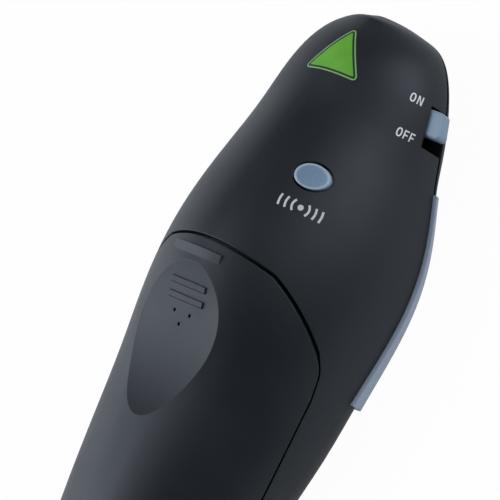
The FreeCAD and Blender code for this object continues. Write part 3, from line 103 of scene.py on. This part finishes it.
class Finish:
    """A material or a world, its nodes made one at a time."""

    def __init__(self, name, kind=bpy.data.materials):
        self.material = kind.new(name)
        self.material.use_nodes = True
        self.tree = self.material.node_tree
        self.tree.nodes.clear()

    def node(self, kind, settings=None, inputs=None, output=0):
        """A node whose settings are set first, then the values or links of its sockets."""
        made = self.tree.nodes.new(kind)
        for word, value in (settings or {}).items():
            setattr(made, word, value)
        for name, value in (inputs or {}).items():
            if isinstance(value, Wire):
                self.tree.links.new(value.socket, made.inputs[name])
            else:
                made.inputs[name].default_value = value
        return Wire(self, made.outputs[output]) if made.outputs else made

    def place(self):
        return self.node("ShaderNodeTexCoord", output="Object")

    def split(self, vector, axis):
        return self.node("ShaderNodeSeparateXYZ", None, {0: vector}, output=axis)

    def noise(self, scale, detail=3.0, roughness=0.5, vector=None):
        return self.node("ShaderNodeTexNoise", None, {
            "Vector": vector or self.place(), "Scale": scale, "Detail": detail,
            "Roughness": roughness})

    def mix(self, factor, first, second):
        """A colour between two colours."""
        return self.node("ShaderNodeMix", {"data_type": "RGBA"},
                         {0: factor, 6: first, 7: second}, output=2)

    def band(self, value, low, high, start=0.0, end=1.0):
        """A value brought from one range to another, smoothly and without overshoot."""
        return self.node("ShaderNodeMapRange", {"interpolation_type": "SMOOTHSTEP"}, {
            0: value, 1: low, 2: high, 3: start, 4: end})

    def edges(self, radius):
        """The normal with sharp edges rounded, and how near a surface point is to such an edge."""
        rounded = self.node("ShaderNodeBevel", {"samples": 6}, {"Radius": radius})
        straight = self.node("ShaderNodeNewGeometry", output="Normal")
        likeness = self.node("ShaderNodeVectorMath", {"operation": "DOT_PRODUCT"},
                             {0: rounded, 1: straight}, output="Value")
        return rounded, self.band(1 - likeness, 0.0, EDGE_TURN)

    def bump(self, height, strength, distance, normal=None):
        inputs = {"Height": height, "Strength": strength, "Distance": distance}
        if normal:
            inputs["Normal"] = normal
        return self.node("ShaderNodeBump", None, inputs)

    def seen(self):
        """Whether the camera, or else a reflection or clear plastic, looks at the surface."""
        camera, glossy, clear = (
            self.node("ShaderNodeLightPath", output=name)
            for name in ("Is Camera Ray", "Is Glossy Ray", "Is Transmission Ray"))
        return camera, glossy.maths("MAXIMUM", glossy, clear)

    def done(self, **sockets):
        """Closes the material with one main shader. Words name its sockets."""
        names = {"colour": "Base Color", "roughness": "Roughness", "metallic": "Metallic",
                 "normal": "Normal", "coat": "Coat Weight", "ior": "IOR",
                 "clear": "Transmission Weight"}
        shader = self.node("ShaderNodeBsdfPrincipled", None,
                           {names[word]: value for word, value in sockets.items()})
        self.node("ShaderNodeOutputMaterial", None, {"Surface": shader})
        return self.material


def grey(value):
    return (value, value, value, 1.0)


def moulded(name, colour, pale, roughness, grain, round_over, wear_and_highlight=0.35, dust=0.0,
            rim_highlight_oval=None):
    """Moulded plastic: fine spark-eroded grain, faint clouding, edges painted a little paler.

    Grain and edge rounding are in millimetres. The paler edges stand for rubbed wear; with a high
    share, as on the blue keys, they are also a painted highlight of the rounded edge. An oval key
    can have its rounded rim painted paler all round, a painted highlight: the last argument names
    its node.
    """
    finish = Finish(name)
    clouds = finish.noise(55.0, detail=4.0, roughness=0.6)
    grains = finish.noise(1000.0 / grain, detail=2.0, roughness=0.55)
    rounded, rim = finish.edges(round_over * MM)
    tint = finish.mix(finish.band(clouds, 0.3, 0.7, 0.0, CLOUDING), colour, pale)
    tint = finish.mix(finish.band(grains, 0.35, 0.75, 0.0, CLOUDING * 0.8), tint, pale)
    # Edges painted paler: rubbed wear, and where the share is high also a painted highlight of the
    # rounded edge
    tint = finish.mix(rim * wear_and_highlight, tint, pale)
    # Painted highlight: the oval key's rounded rim is painted paler all round, standing for the
    # light it catches
    if rim_highlight_oval:
        low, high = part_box(rim_highlight_oval)
        away = [(finish.split(finish.place(), axis) - (low[number] + high[number]) / 2)
                * (2 / (high[number] - low[number] - 2 * FLANGE))
                for number, axis in enumerate("XY")]
        spread = away[0] * away[0] + away[1] * away[1]
        tint = finish.mix(finish.band(spread, 0.62, 0.84) * 0.8, tint, pale)
    if dust:
        cells = {"Vector": finish.place(), "Scale": 95.0, "Randomness": 1.0}
        off_centre = finish.node("ShaderNodeTexVoronoi", None, cells, output="Distance")
        chance = finish.split(finish.node("ShaderNodeTexVoronoi", None, cells, output="Color"), 0)
        speck = (off_centre < 0.012) * (chance > 0.8)
        tint = finish.mix(speck * dust, tint, grey(0.35))
    finish_roughness = roughness + finish.band(clouds, 0.3, 0.7, -0.04, 0.04) - rim * 0.08
    return finish.done(
        colour=tint, roughness=finish_roughness + finish.band(grains, 0.3, 0.7, -0.03, 0.03),
        normal=finish.bump(grains, 0.5, GRAIN_DEPTH, rounded))


def metal(name, colour, pale, roughness):
    """Rolled or plated metal with fine directional scratches and slight tarnish."""
    finish = Finish(name)
    stretched = finish.node("ShaderNodeMapping", None,
                            {"Vector": finish.place(), "Scale": (0.04, 1.0, 1.0)})
    lines = finish.noise(18000.0, detail=2.0, vector=stretched)
    tarnish = finish.noise(260.0, detail=4.0)
    rounded, rim = finish.edges(0.08 * MM)
    tint = finish.mix(finish.band(tarnish, 0.35, 0.7, 0.0, 0.5), colour, pale)
    return finish.done(
        colour=finish.mix(rim * 0.4, tint, pale), metallic=1.0,
        roughness=roughness + finish.band(lines, 0.3, 0.7, -0.06, 0.08),
        normal=finish.bump(lines, 0.3, 0.004 * MM, rounded))


def clear_red(name):
    """The dark red window in front of the laser."""
    finish = Finish(name)
    haze = finish.noise(900.0, detail=2.0)
    return finish.done(
        colour=finish.mix(finish.band(haze, 0.35, 0.65), (0.22, 0.006, 0.008, 1.0),
                          (0.30, 0.012, 0.012, 1.0)),
        roughness=finish.band(haze, 0.3, 0.7, 0.03, 0.07), clear=0.6, ior=1.49)


def clear_lens(name):
    """The small moulded lens of the laser."""
    finish = Finish(name)
    haze = finish.noise(900.0, detail=2.0)
    return finish.done(colour=finish.mix(haze, (0.86, 0.90, 0.94, 1.0), (0.93, 0.95, 0.97, 1.0)),
                       roughness=finish.band(haze, 0.3, 0.7, 0.01, 0.04), clear=0.9, ior=1.52)


def circuit_board(name):
    """Green solder resist with copper tracks showing through it and plated pads."""
    finish = Finish(name)
    place = finish.place()
    tracks = finish.node("ShaderNodeTexBrick", {"offset": 0.5}, {
        "Vector": place, "Scale": 260.0, "Mortar Size": 0.06, "Mortar Smooth": 0.2,
        "Brick Width": 0.9, "Row Height": 0.3}, output="Fac")
    warped = finish.noise(380.0, detail=1.0)
    lines = tracks * finish.band(warped, 0.42, 0.5)
    dots = finish.node("ShaderNodeTexVoronoi", None, {"Vector": place, "Scale": 420.0,
                                                      "Randomness": 0.35}, output="Distance")
    pads = finish.band(dots, 0.16, 0.12) * finish.band(warped, 0.52, 0.56)
    tint = finish.mix(lines * 0.6, (0.008, 0.075, 0.028, 1.0), (0.03, 0.18, 0.07, 1.0))
    tint = finish.mix(pads, tint, (0.62, 0.60, 0.55, 1.0))
    return finish.done(colour=tint, metallic=pads * 0.9, roughness=0.34 - pads * 0.08,
                       normal=finish.bump(lines + pads, 0.4, 0.02 * MM), coat=0.3)


def cell_sleeve(name, start, end):
    """A cell's printed sleeve: dark body, a copper-coloured band at one end and bare steel ends."""
    finish = Finish(name)
    along = finish.split(finish.place(), "X")
    haze = finish.noise(300.0, detail=3.0)
    body = finish.mix(haze, (0.012, 0.013, 0.016, 1.0), (0.022, 0.024, 0.028, 1.0))
    copper = finish.mix(haze, (0.42, 0.20, 0.09, 1.0), (0.50, 0.26, 0.13, 1.0))
    low, high = min(start, end), max(start, end)
    copper_length, bare_end = 11 * MM, 0.35 * MM
    band = (along > high - copper_length) if end > start else (along < low + copper_length)
    tint = finish.mix(band, body, copper)
    steel = (along < low + bare_end) + (along > high - bare_end)
    tint = finish.mix(steel, tint, (0.55, 0.55, 0.53, 1.0))
    return finish.done(colour=tint, metallic=0.35 + steel * 0.6,
                       roughness=finish.band(haze, 0.3, 0.7, 0.22, 0.32), coat=0.4)


soft_black = moulded("soft-touch black", (0.0070, 0.0098, 0.0114, 1.0), (0.018, 0.022, 0.026, 1.0),
                     0.50, grain=0.22, wear_and_highlight=0.5, round_over=0.22, dust=0.7)
front_black = moulded("front black", (0.0070, 0.0095, 0.0108, 1.0), (0.020, 0.023, 0.027, 1.0),
                      0.46, grain=0.28, wear_and_highlight=0.5, round_over=0.2)
bezel_grey = moulded("satin blue-grey", (0.390, 0.450, 0.515, 1.0), (0.48, 0.53, 0.57, 1.0),
                     0.40, grain=0.3, wear_and_highlight=0.4, round_over=0.25)
knob_blue = moulded("slate blue", (0.265, 0.347, 0.412, 1.0), (0.37, 0.45, 0.50, 1.0),
                    0.38, grain=0.25, wear_and_highlight=0.8, round_over=0.35)
# The blue keys' strongly paler edges and rim are mostly a painted highlight of their rounded rims
button_blue = moulded("button blue", (0.165, 0.252, 0.325, 1.0), (0.42, 0.52, 0.57, 1.0),
                      0.36, grain=0.25, wear_and_highlight=0.9, round_over=0.4, rim_highlight_oval="connect_button")
key_dark = moulded("charcoal keys", (0.022, 0.024, 0.027, 1.0), (0.05, 0.053, 0.058, 1.0),
                   0.46, grain=0.25, wear_and_highlight=0.5, round_over=0.3)
switch_black = moulded("switch black", (0.012, 0.012, 0.012, 1.0), (0.03, 0.03, 0.03, 1.0), 0.45,
                       grain=0.2, round_over=0.08)
tray_black = moulded("tray black", (0.014, 0.014, 0.015, 1.0), (0.03, 0.03, 0.032, 1.0), 0.52,
                     grain=0.3, round_over=0.12)
chip_black = moulded("chip epoxy", (0.010, 0.010, 0.010, 1.0), (0.03, 0.03, 0.03, 1.0), 0.6,
                     grain=0.12, round_over=0.05)
tongue_white = moulded("tongue white", (0.62, 0.61, 0.58, 1.0), (0.75, 0.74, 0.71, 1.0), 0.4,
                       grain=0.2, round_over=0.06)
bright_steel = metal("bright steel", (0.50, 0.50, 0.49, 1.0), (0.66, 0.66, 0.65, 1.0), 0.30)
nickel = metal("nickel plate", (0.56, 0.54, 0.50, 1.0), (0.68, 0.66, 0.62, 1.0), 0.24)
turned_brass = metal("turned brass", (0.55, 0.39, 0.15, 1.0), (0.68, 0.52, 0.25, 1.0), 0.28)
gold = metal("gold flash", (0.70, 0.50, 0.18, 1.0), (0.80, 0.62, 0.28, 1.0), 0.22)
board_green = circuit_board("solder resist")

finishes = {
    "rear_casing": soft_black,
    "battery_cover": soft_black,
    "front_shell": front_black,
    "receiver_housing": front_black,
    "front_bezel": bezel_grey,
    "connect_button": button_blue,
    "laser_key": button_blue,
    "power_switch_knob": knob_blue,
    "play_key": key_dark,
    "blank_key": key_dark,
    "page_forward_key": key_dark,
    "page_back_key": key_dark,
    "switch_actuator": switch_black,
    "main_board": board_green,
    "laser_driver_board": board_green,
    "receiver_board": board_green,
    "radio_chip": chip_black,
    "laser_window": clear_red("dark red window"),
    "laser_lens": clear_lens("clear lens"),
    "laser_barrel": turned_brass,
    "laser_diode": gold,
    "receiver_contacts": gold,
    "receiver_tongue": tongue_white,
    "battery_tray": tray_black,
    "tact_switch_housings": bright_steel,
    "crystal_can": bright_steel,
    "slide_switch_housing": bright_steel,
    "board_screws": bright_steel,
    "case_screws": bright_steel,
    "tray_screws": bright_steel,
    "positive_contact": nickel,
    "negative_contact": nickel,
    "bridge_contact": nickel,
    "front_spring": nickel,
    "rear_spring": nickel,
    "receiver_plug_shell": nickel,
}
for word in ("laser", "play", "blank", "page_forward", "page_back", "connect"):
    finishes[word + "_switch_stem"] = switch_black
for word, to_tail in (("battery_cell_left", False), ("battery_cell_right", True)):
    low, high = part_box(word)
    ends = (high.x, low.x) if to_tail else (low.x, high.x)
    finishes[word] = cell_sleeve(word.replace("_", " "), *ends)
for word, thing in nodes.items():
    thing.data.materials.clear()
    thing.data.materials.append(finishes[word])


# Printed marks: thin ink films that lie on the rear casing
FILM_LIFT = 0.02 * MM
LONGEST_SIDE = 0.55
DEEPEST_SPLIT = 9
DROP = 3 * MM
ABOVE_ALL = 0.05
shell_mesh = nodes["rear_casing"].data
BACK = BVHTree.FromPolygons([v.co for v in shell_mesh.vertices],
                            [p.vertices for p in shell_mesh.polygons])


def ink(name, colour, pale):
    """A printed film, slightly uneven in colour and gloss."""
    finish = Finish(name)
    fleck = finish.noise(9000.0, detail=2.0)
    patch = finish.noise(700.0, detail=3.0)
    tint = finish.mix(finish.band(patch, 0.35, 0.7, 0.0, 0.5), colour, pale)
    return finish.done(colour=tint, roughness=finish.band(fleck, 0.3, 0.7, 0.37, 0.47),
                       normal=finish.bump(fleck, 0.3, 0.005 * MM))


white_ink = ink("pale ink", (0.84, 0.83, 0.79, 1.0), (0.72, 0.72, 0.69, 1.0))
mark_ink = ink("pale mark ink", (0.64, 0.64, 0.62, 1.0), (0.54, 0.54, 0.52, 1.0))
green_ink = ink("green film", (0.128, 0.385, 0.030, 1.0), (0.160, 0.430, 0.040, 1.0))
rim_ink = ink("pale green rim", (0.25, 0.42, 0.15, 1.0), (0.21, 0.36, 0.13, 1.0))
dark_ink = ink("dark green line", (0.012, 0.045, 0.012, 1.0), (0.016, 0.06, 0.016, 1.0))


def scaled(outline, amount):
    """An outline grown or shrunk by a distance on every side."""
    count = len(outline)
    area = sum(outline[n - 1][0] * outline[n][1] - outline[n][0] * outline[n - 1][1]
               for n in range(count))
    grown = []
    for number in range(count):
        before = Vector(outline[number - 1])
        here = Vector(outline[number])
        after = Vector(outline[(number + 1) % count])
        first = (here - before).normalized()
        second = (after - here).normalized()
        turn = (first + second).normalized()
        outward = Vector((turn.y, -turn.x)) * math.copysign(1, area)
        grown.append(tuple(here + outward * amount / max(0.35, turn.dot(first))))
    return grown


def rounded_corners(corners, radius, steps=7):
    """A closed outline whose corners are arcs of a radius."""
    outline = []
    count = len(corners)
    for number in range(count):
        here = Vector(corners[number])
        back = (Vector(corners[number - 1]) - here).normalized()
        ahead = (Vector(corners[(number + 1) % count]) - here).normalized()
        half = back.angle(ahead) / 2
        reach = radius / math.tan(half)
        centre = here + (back + ahead).normalized() * radius / math.sin(half)
        first = here + back * reach - centre
        last = here + ahead * reach - centre
        sweep = math.atan2(first.x * last.y - first.y * last.x, first.dot(last))
        for step in range(steps + 1):
            turn = sweep * step / steps
            outline.append((
                centre.x + first.x * math.cos(turn) - first.y * math.sin(turn),
                centre.y + first.x * math.sin(turn) + first.y * math.cos(turn)))
    return outline


def stepped(outline, parts=16, least=1.0):
    """The same outline with its long sides divided, so that it can follow a bent surface."""
    points = []
    for number, last in enumerate(outline):
        first = Vector(outline[number - 1])
        run = Vector(last) - first
        count = parts if run.length > least else 1
        points += [tuple(first + run * part / count) for part in range(1, count + 1)]
    return points


def ring(width, height, thickness, steps=40, power=2.0):
    """A closed loop of even thickness as an outer and an inner outline."""
    rows = []
    for shrink in (0.0, thickness):
        row = []
        for step in range(steps):
            angle = 2 * math.pi * step / steps
            cosine, sine = math.cos(angle), math.sin(angle)
            row.append((math.copysign(abs(cosine) ** (2 / power), cosine) * (width / 2 - shrink),
                        math.copysign(abs(sine) ** (2 / power), sine) * (height / 2 - shrink)))
        rows.append(row)
    return rows


def arc_band(radius, thickness, middle, spread, steps=14):
    """A bent bar: part of a ring about the origin."""
    outer, inner = [], []
    for step in range(steps + 1):
        angle = middle + spread * (step / steps - 0.5)
        for row, reach in ((outer, radius + thickness / 2), (inner, radius - thickness / 2)):
            row.append((math.cos(angle) * reach, math.sin(angle) * reach))
    return outer + inner[::-1]


class Print:
    """Ink shapes drawn on a plane and laid down on the back along that plane's normal.

    The drawing is in millimetres. It reads across the body, and its top points to the nose.
    """

    def __init__(self, name, near):
        self.name = name
        self.centre, self.normal, _, _ = BACK.find_nearest(near)
        self.across = Vector((1, 0, 0)).cross(self.normal).normalized()
        self.up = self.normal.cross(self.across)
        self.points = []
        self.faces = []

    def flat(self, spot):
        """Where a point in space falls on the drawing, in millimetres."""
        away = spot - self.centre
        return away.dot(self.across) / MM, away.dot(self.up) / MM

    def drop(self, s, t):
        """A point of the drawing, laid on the surface."""
        start = self.centre + self.across * s * MM + self.up * t * MM + self.normal * DROP
        hit = BACK.ray_cast(start, -self.normal)[0] or BACK.find_nearest(start)[0]
        return hit + self.normal * FILM_LIFT

    def shift(self, outline, s, t):
        return [(x + s, y + t) for x, y in outline]

    def fill(self, outline, s=0.0, t=0.0):
        """A filled outline, cut into small triangles so that it bends with the surface."""
        outline = self.shift(outline, s, t)
        for corners in tessellate_polygon([[Vector((x, y, 0)) for x, y in outline]]):
            self.split([Vector(outline[c]) for c in corners])

    def split(self, corners, depth=0):
        longest = max(range(3), key=lambda n: (corners[n] - corners[(n + 1) % 3]).length)
        first, second, third = (corners[(longest + n) % 3] for n in range(3))
        if (first - second).length < LONGEST_SIDE or depth > DEEPEST_SPLIT:
            base = len(self.points)
            self.points += [self.drop(*corner) for corner in corners]
            self.faces.append((base, base + 1, base + 2))
            return
        middle = (first + second) / 2
        self.split([first, middle, third], depth + 1)
        self.split([middle, second, third], depth + 1)

    def loop(self, rows, s=0.0, t=0.0):
        """The band between closed outlines of equal counts."""
        base = len(self.points)
        count = len(rows[0])
        for row in rows:
            self.points += [self.drop(*point) for point in self.shift(row, s, t)]
        for row in range(len(rows) - 1):
            for number in range(count):
                after = (number + 1) % count
                start = base + row * count
                self.faces.append((start + number, start + after,
                                   start + count + after, start + count + number))

    def make(self, material, body):
        mesh = bpy.data.meshes.new(self.name)
        mesh.from_pydata([tuple(point) for point in self.points], [], self.faces)
        mesh.validate()
        mesh.update()
        for face in mesh.polygons:
            if face.normal.dot(self.normal) < 0:
                face.flip()
        mesh.materials.append(material)
        thing = bpy.data.objects.new(self.name, mesh)
        scene.collection.objects.link(thing)
        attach(thing, body)
        return thing


def on_back(u, y):
    """The point of the back at a distance from the nose tip and a value of Y, in millimetres."""
    return BACK.ray_cast(Vector((NOSE - u * MM, y * MM, ABOVE_ALL)), Vector((0, 0, -1)))[0]


# Places on the back, as distances from the nose tip and values of Y in millimetres
SWITCH_ON_PLACE = (9.34, -11.71)
SWITCH_OFF_PLACE = (14.55, -12.80)
RADIO_MARK_PLACE = (30.05, -8.22)
PATCH_PLACE = (8.77, -1.29)
PATCH_CORNERS = [(3.46, 0.24), (11.36, 4.34), (10.86, -5.14)]
# The marks' own sizes in millimetres, each arc with its spread in radians
RADIO_DOT_RADIUS = 0.42
RADIO_LINE = 0.32
RADIO_ARCS = ((1.25, 1.45), (2.2, 0.78), (3.15, 0.54))
PATCH_ROUNDING = 0.55
PATCH_LEAST_ROUNDING = 0.15
LETTER_O = ring(0.84, 1.33, 0.21, power=2.4)


def letter_n(width=0.82, height=1.31, bar=0.20):
    half, top = width / 2, height / 2
    slant = bar * 1.15
    return [(-half, -top), (-half + bar, -top), (-half + bar, top - slant * 1.4),
            (half - slant, -top), (half, -top), (half, top), (half - bar, top),
            (half - bar, -top + slant * 1.4), (-half + slant, top), (-half, top)]


def letter_f(width=0.70, height=1.31, bar=0.20):
    half, top = width / 2, height / 2
    return [(-half, -top), (-half + bar, -top), (-half + bar, -bar / 2 - 0.05),
            (half * 0.8, -bar / 2 - 0.05), (half * 0.8, bar / 2 - 0.05),
            (-half + bar, bar / 2 - 0.05), (-half + bar, top - bar), (half, top - bar),
            (half, top), (-half, top)]


def disc(radius, steps=24):
    return [(radius * math.cos(2 * math.pi * step / steps),
             radius * math.sin(2 * math.pi * step / steps)) for step in range(steps)]


switch_on = Print("switch-mark-on", on_back(*SWITCH_ON_PLACE))
switch_on.loop(LETTER_O, -0.56)
switch_on.fill(letter_n(), 0.56)
switch_on.make(white_ink, "casing")
switch_off = Print("switch-mark-off", on_back(*SWITCH_OFF_PLACE))
switch_off.loop(LETTER_O, -1.0)
switch_off.fill(letter_f(), 0.02)
switch_off.fill(letter_f(), 0.96)
switch_off.make(white_ink, "casing")

radio_mark = Print("radio-mark", on_back(*RADIO_MARK_PLACE))
radio_mark.fill(disc(RADIO_DOT_RADIUS))
for side in (0.0, math.pi):
    for radius, spread in RADIO_ARCS:
        radio_mark.fill(arc_band(radius, RADIO_LINE, side, spread))
radio_mark.make(mark_ink, "casing")


def patch_film(name, outer, inner, material):
    """One layer of the green patch: a band between two insets, or a filled field."""
    film = Print(name, on_back(*PATCH_PLACE))
    corners = [film.flat(on_back(*spot)) for spot in PATCH_CORNERS]
    rows = [stepped(rounded_corners(scaled(corners, -inset),
                                    max(PATCH_LEAST_ROUNDING, PATCH_ROUNDING - inset)))
            for inset in (outer, inner) if inset is not None]
    if inner is None:
        film.fill(rows[0])
    else:
        film.loop(rows)
    film.make(material, "casing")


patch_film("green-patch-rim", 0.0, 0.2, rim_ink)
patch_film("green-patch-line", 0.2, 0.5, dark_ink)
patch_film("green-patch-field", 0.5, None, green_ink)


# Floor: white to the camera, see-through from below
FLOOR_REACH = 3.0


def floor_material():
    """White paper that mostly glows to the camera, so that only a soft shadow shows on it."""
    finish = Finish("pale floor")
    paper = finish.noise(40.0, detail=4.0)
    matt = finish.node("ShaderNodeBsdfDiffuse", None, {
        "Color": finish.mix(paper, (0.80, 0.80, 0.80, 1.0), (0.84, 0.84, 0.84, 1.0))})
    glow = finish.node("ShaderNodeEmission", None, {"Color": grey(1.0), "Strength": 1.0})
    camera, mirrored = finish.seen()
    top = finish.node("ShaderNodeMixShader", None, {
        0: camera * 0.97 + mirrored * 0.28, 1: matt, 2: glow})
    under = finish.node("ShaderNodeBsdfTransparent")
    below = finish.node("ShaderNodeNewGeometry", output="Backfacing")
    finish.node("ShaderNodeOutputMaterial", None, {
        "Surface": finish.node("ShaderNodeMixShader", None, {0: below, 1: top, 2: under})})
    return finish.material


floor_mesh = bpy.data.meshes.new("floor")
floor_corners = [(x * FLOOR_REACH, y * FLOOR_REACH, 0)
                 for x, y in ((-1, -1), (1, -1), (1, 1), (-1, 1))]
floor_mesh.from_pydata(floor_corners, [], [(0, 1, 2, 3)])
floor_mesh.materials.append(floor_material())
floor = bpy.data.objects.new("floor", floor_mesh)
scene.collection.objects.link(floor)


# Light
LAMP_DISTANCE = 0.9
LAMP_AIM = Vector((0, 0, 10 * MM))
COOL = (0.92, 1.0, 1.17)


def heading(azimuth, elevation):
    """The direction from the clicker to a lamp or the camera, from angles in degrees."""
    turn, lift = math.radians(azimuth), math.radians(elevation)
    return Vector((math.sin(turn) * math.cos(lift), -math.cos(turn) * math.cos(lift),
                   math.sin(lift)))


def softbox(name, azimuth, elevation, side, power):
    """A soft square light that looks at the clicker."""
    lamp = bpy.data.lights.new(name, "AREA")
    lamp.shape = "SQUARE"
    lamp.size = side
    lamp.energy = power
    lamp.color = COOL
    thing = bpy.data.objects.new(name, lamp)
    back = heading(azimuth, elevation)
    thing.location = LAMP_AIM + back * LAMP_DISTANCE
    thing.rotation_euler = (-back).to_track_quat("-Z", "Y").to_euler()
    scene.collection.objects.link(thing)


softbox("window side softbox", azimuth=211.0, elevation=45.0, side=0.7, power=3.3)
softbox("overhead softbox", azimuth=185.0, elevation=70.0, side=0.7, power=2.3)
softbox("low window", azimuth=192.0, elevation=18.0, side=0.6, power=1.6)
softbox("nose side softbox", azimuth=50.0, elevation=30.0, side=0.5, power=2.6)


def studio_world():
    """Pale low walls with a darker ceiling, white where the camera or a reflection sees them."""
    finish = Finish("studio", bpy.data.worlds)
    scene.world = finish.material
    wall_top, wall_light, room_light = 0.3, 0.75, 0.2
    rise = finish.split(finish.node("ShaderNodeTexCoord", output="Generated"), "Z")
    wall = finish.band(rise, wall_top, 0.0) * wall_light
    camera, mirrored = finish.seen()
    strength = camera.maths("MAXIMUM", camera, mirrored * wall + (1 - mirrored) * room_light)
    tint = finish.mix(camera, (0.93, 1.0, 1.12, 1.0), grey(1.0))
    backdrop = finish.node("ShaderNodeBackground", None, {"Color": tint, "Strength": strength})
    finish.node("ShaderNodeOutputWorld", None, {"Surface": backdrop})


studio_world()


# Camera
def look(azimuth, elevation, roll, distance, aim, lens):
    """A camera at a distance from the point it aims at, rolled about its line of sight."""
    turn, tilt = math.radians(azimuth), math.radians(roll)
    back = heading(azimuth, elevation)
    right = Vector((math.cos(turn), math.sin(turn), 0))
    up = back.cross(right)
    side = right * math.cos(tilt) + up * math.sin(tilt)
    top = up * math.cos(tilt) - right * math.sin(tilt)
    camera = bpy.data.objects.new("camera", bpy.data.cameras.new("camera"))
    camera.data.lens = lens
    camera.data.sensor_width = 36.0
    camera.data.clip_start = 0.01
    camera.matrix_world = Matrix((
        (side.x, top.x, back.x, aim.x + back.x * distance),
        (side.y, top.y, back.y, aim.y + back.y * distance),
        (side.z, top.z, back.z, aim.z + back.z * distance),
        (0, 0, 0, 1)))
    scene.collection.objects.link(camera)
    scene.camera = camera


look(azimuth=-5.93, elevation=50.32, roll=-59.63, distance=0.4548,
     aim=Vector((32.6, 2.1, 15.0)) * MM, lens=236.5)

bpy.context.view_layer.update()
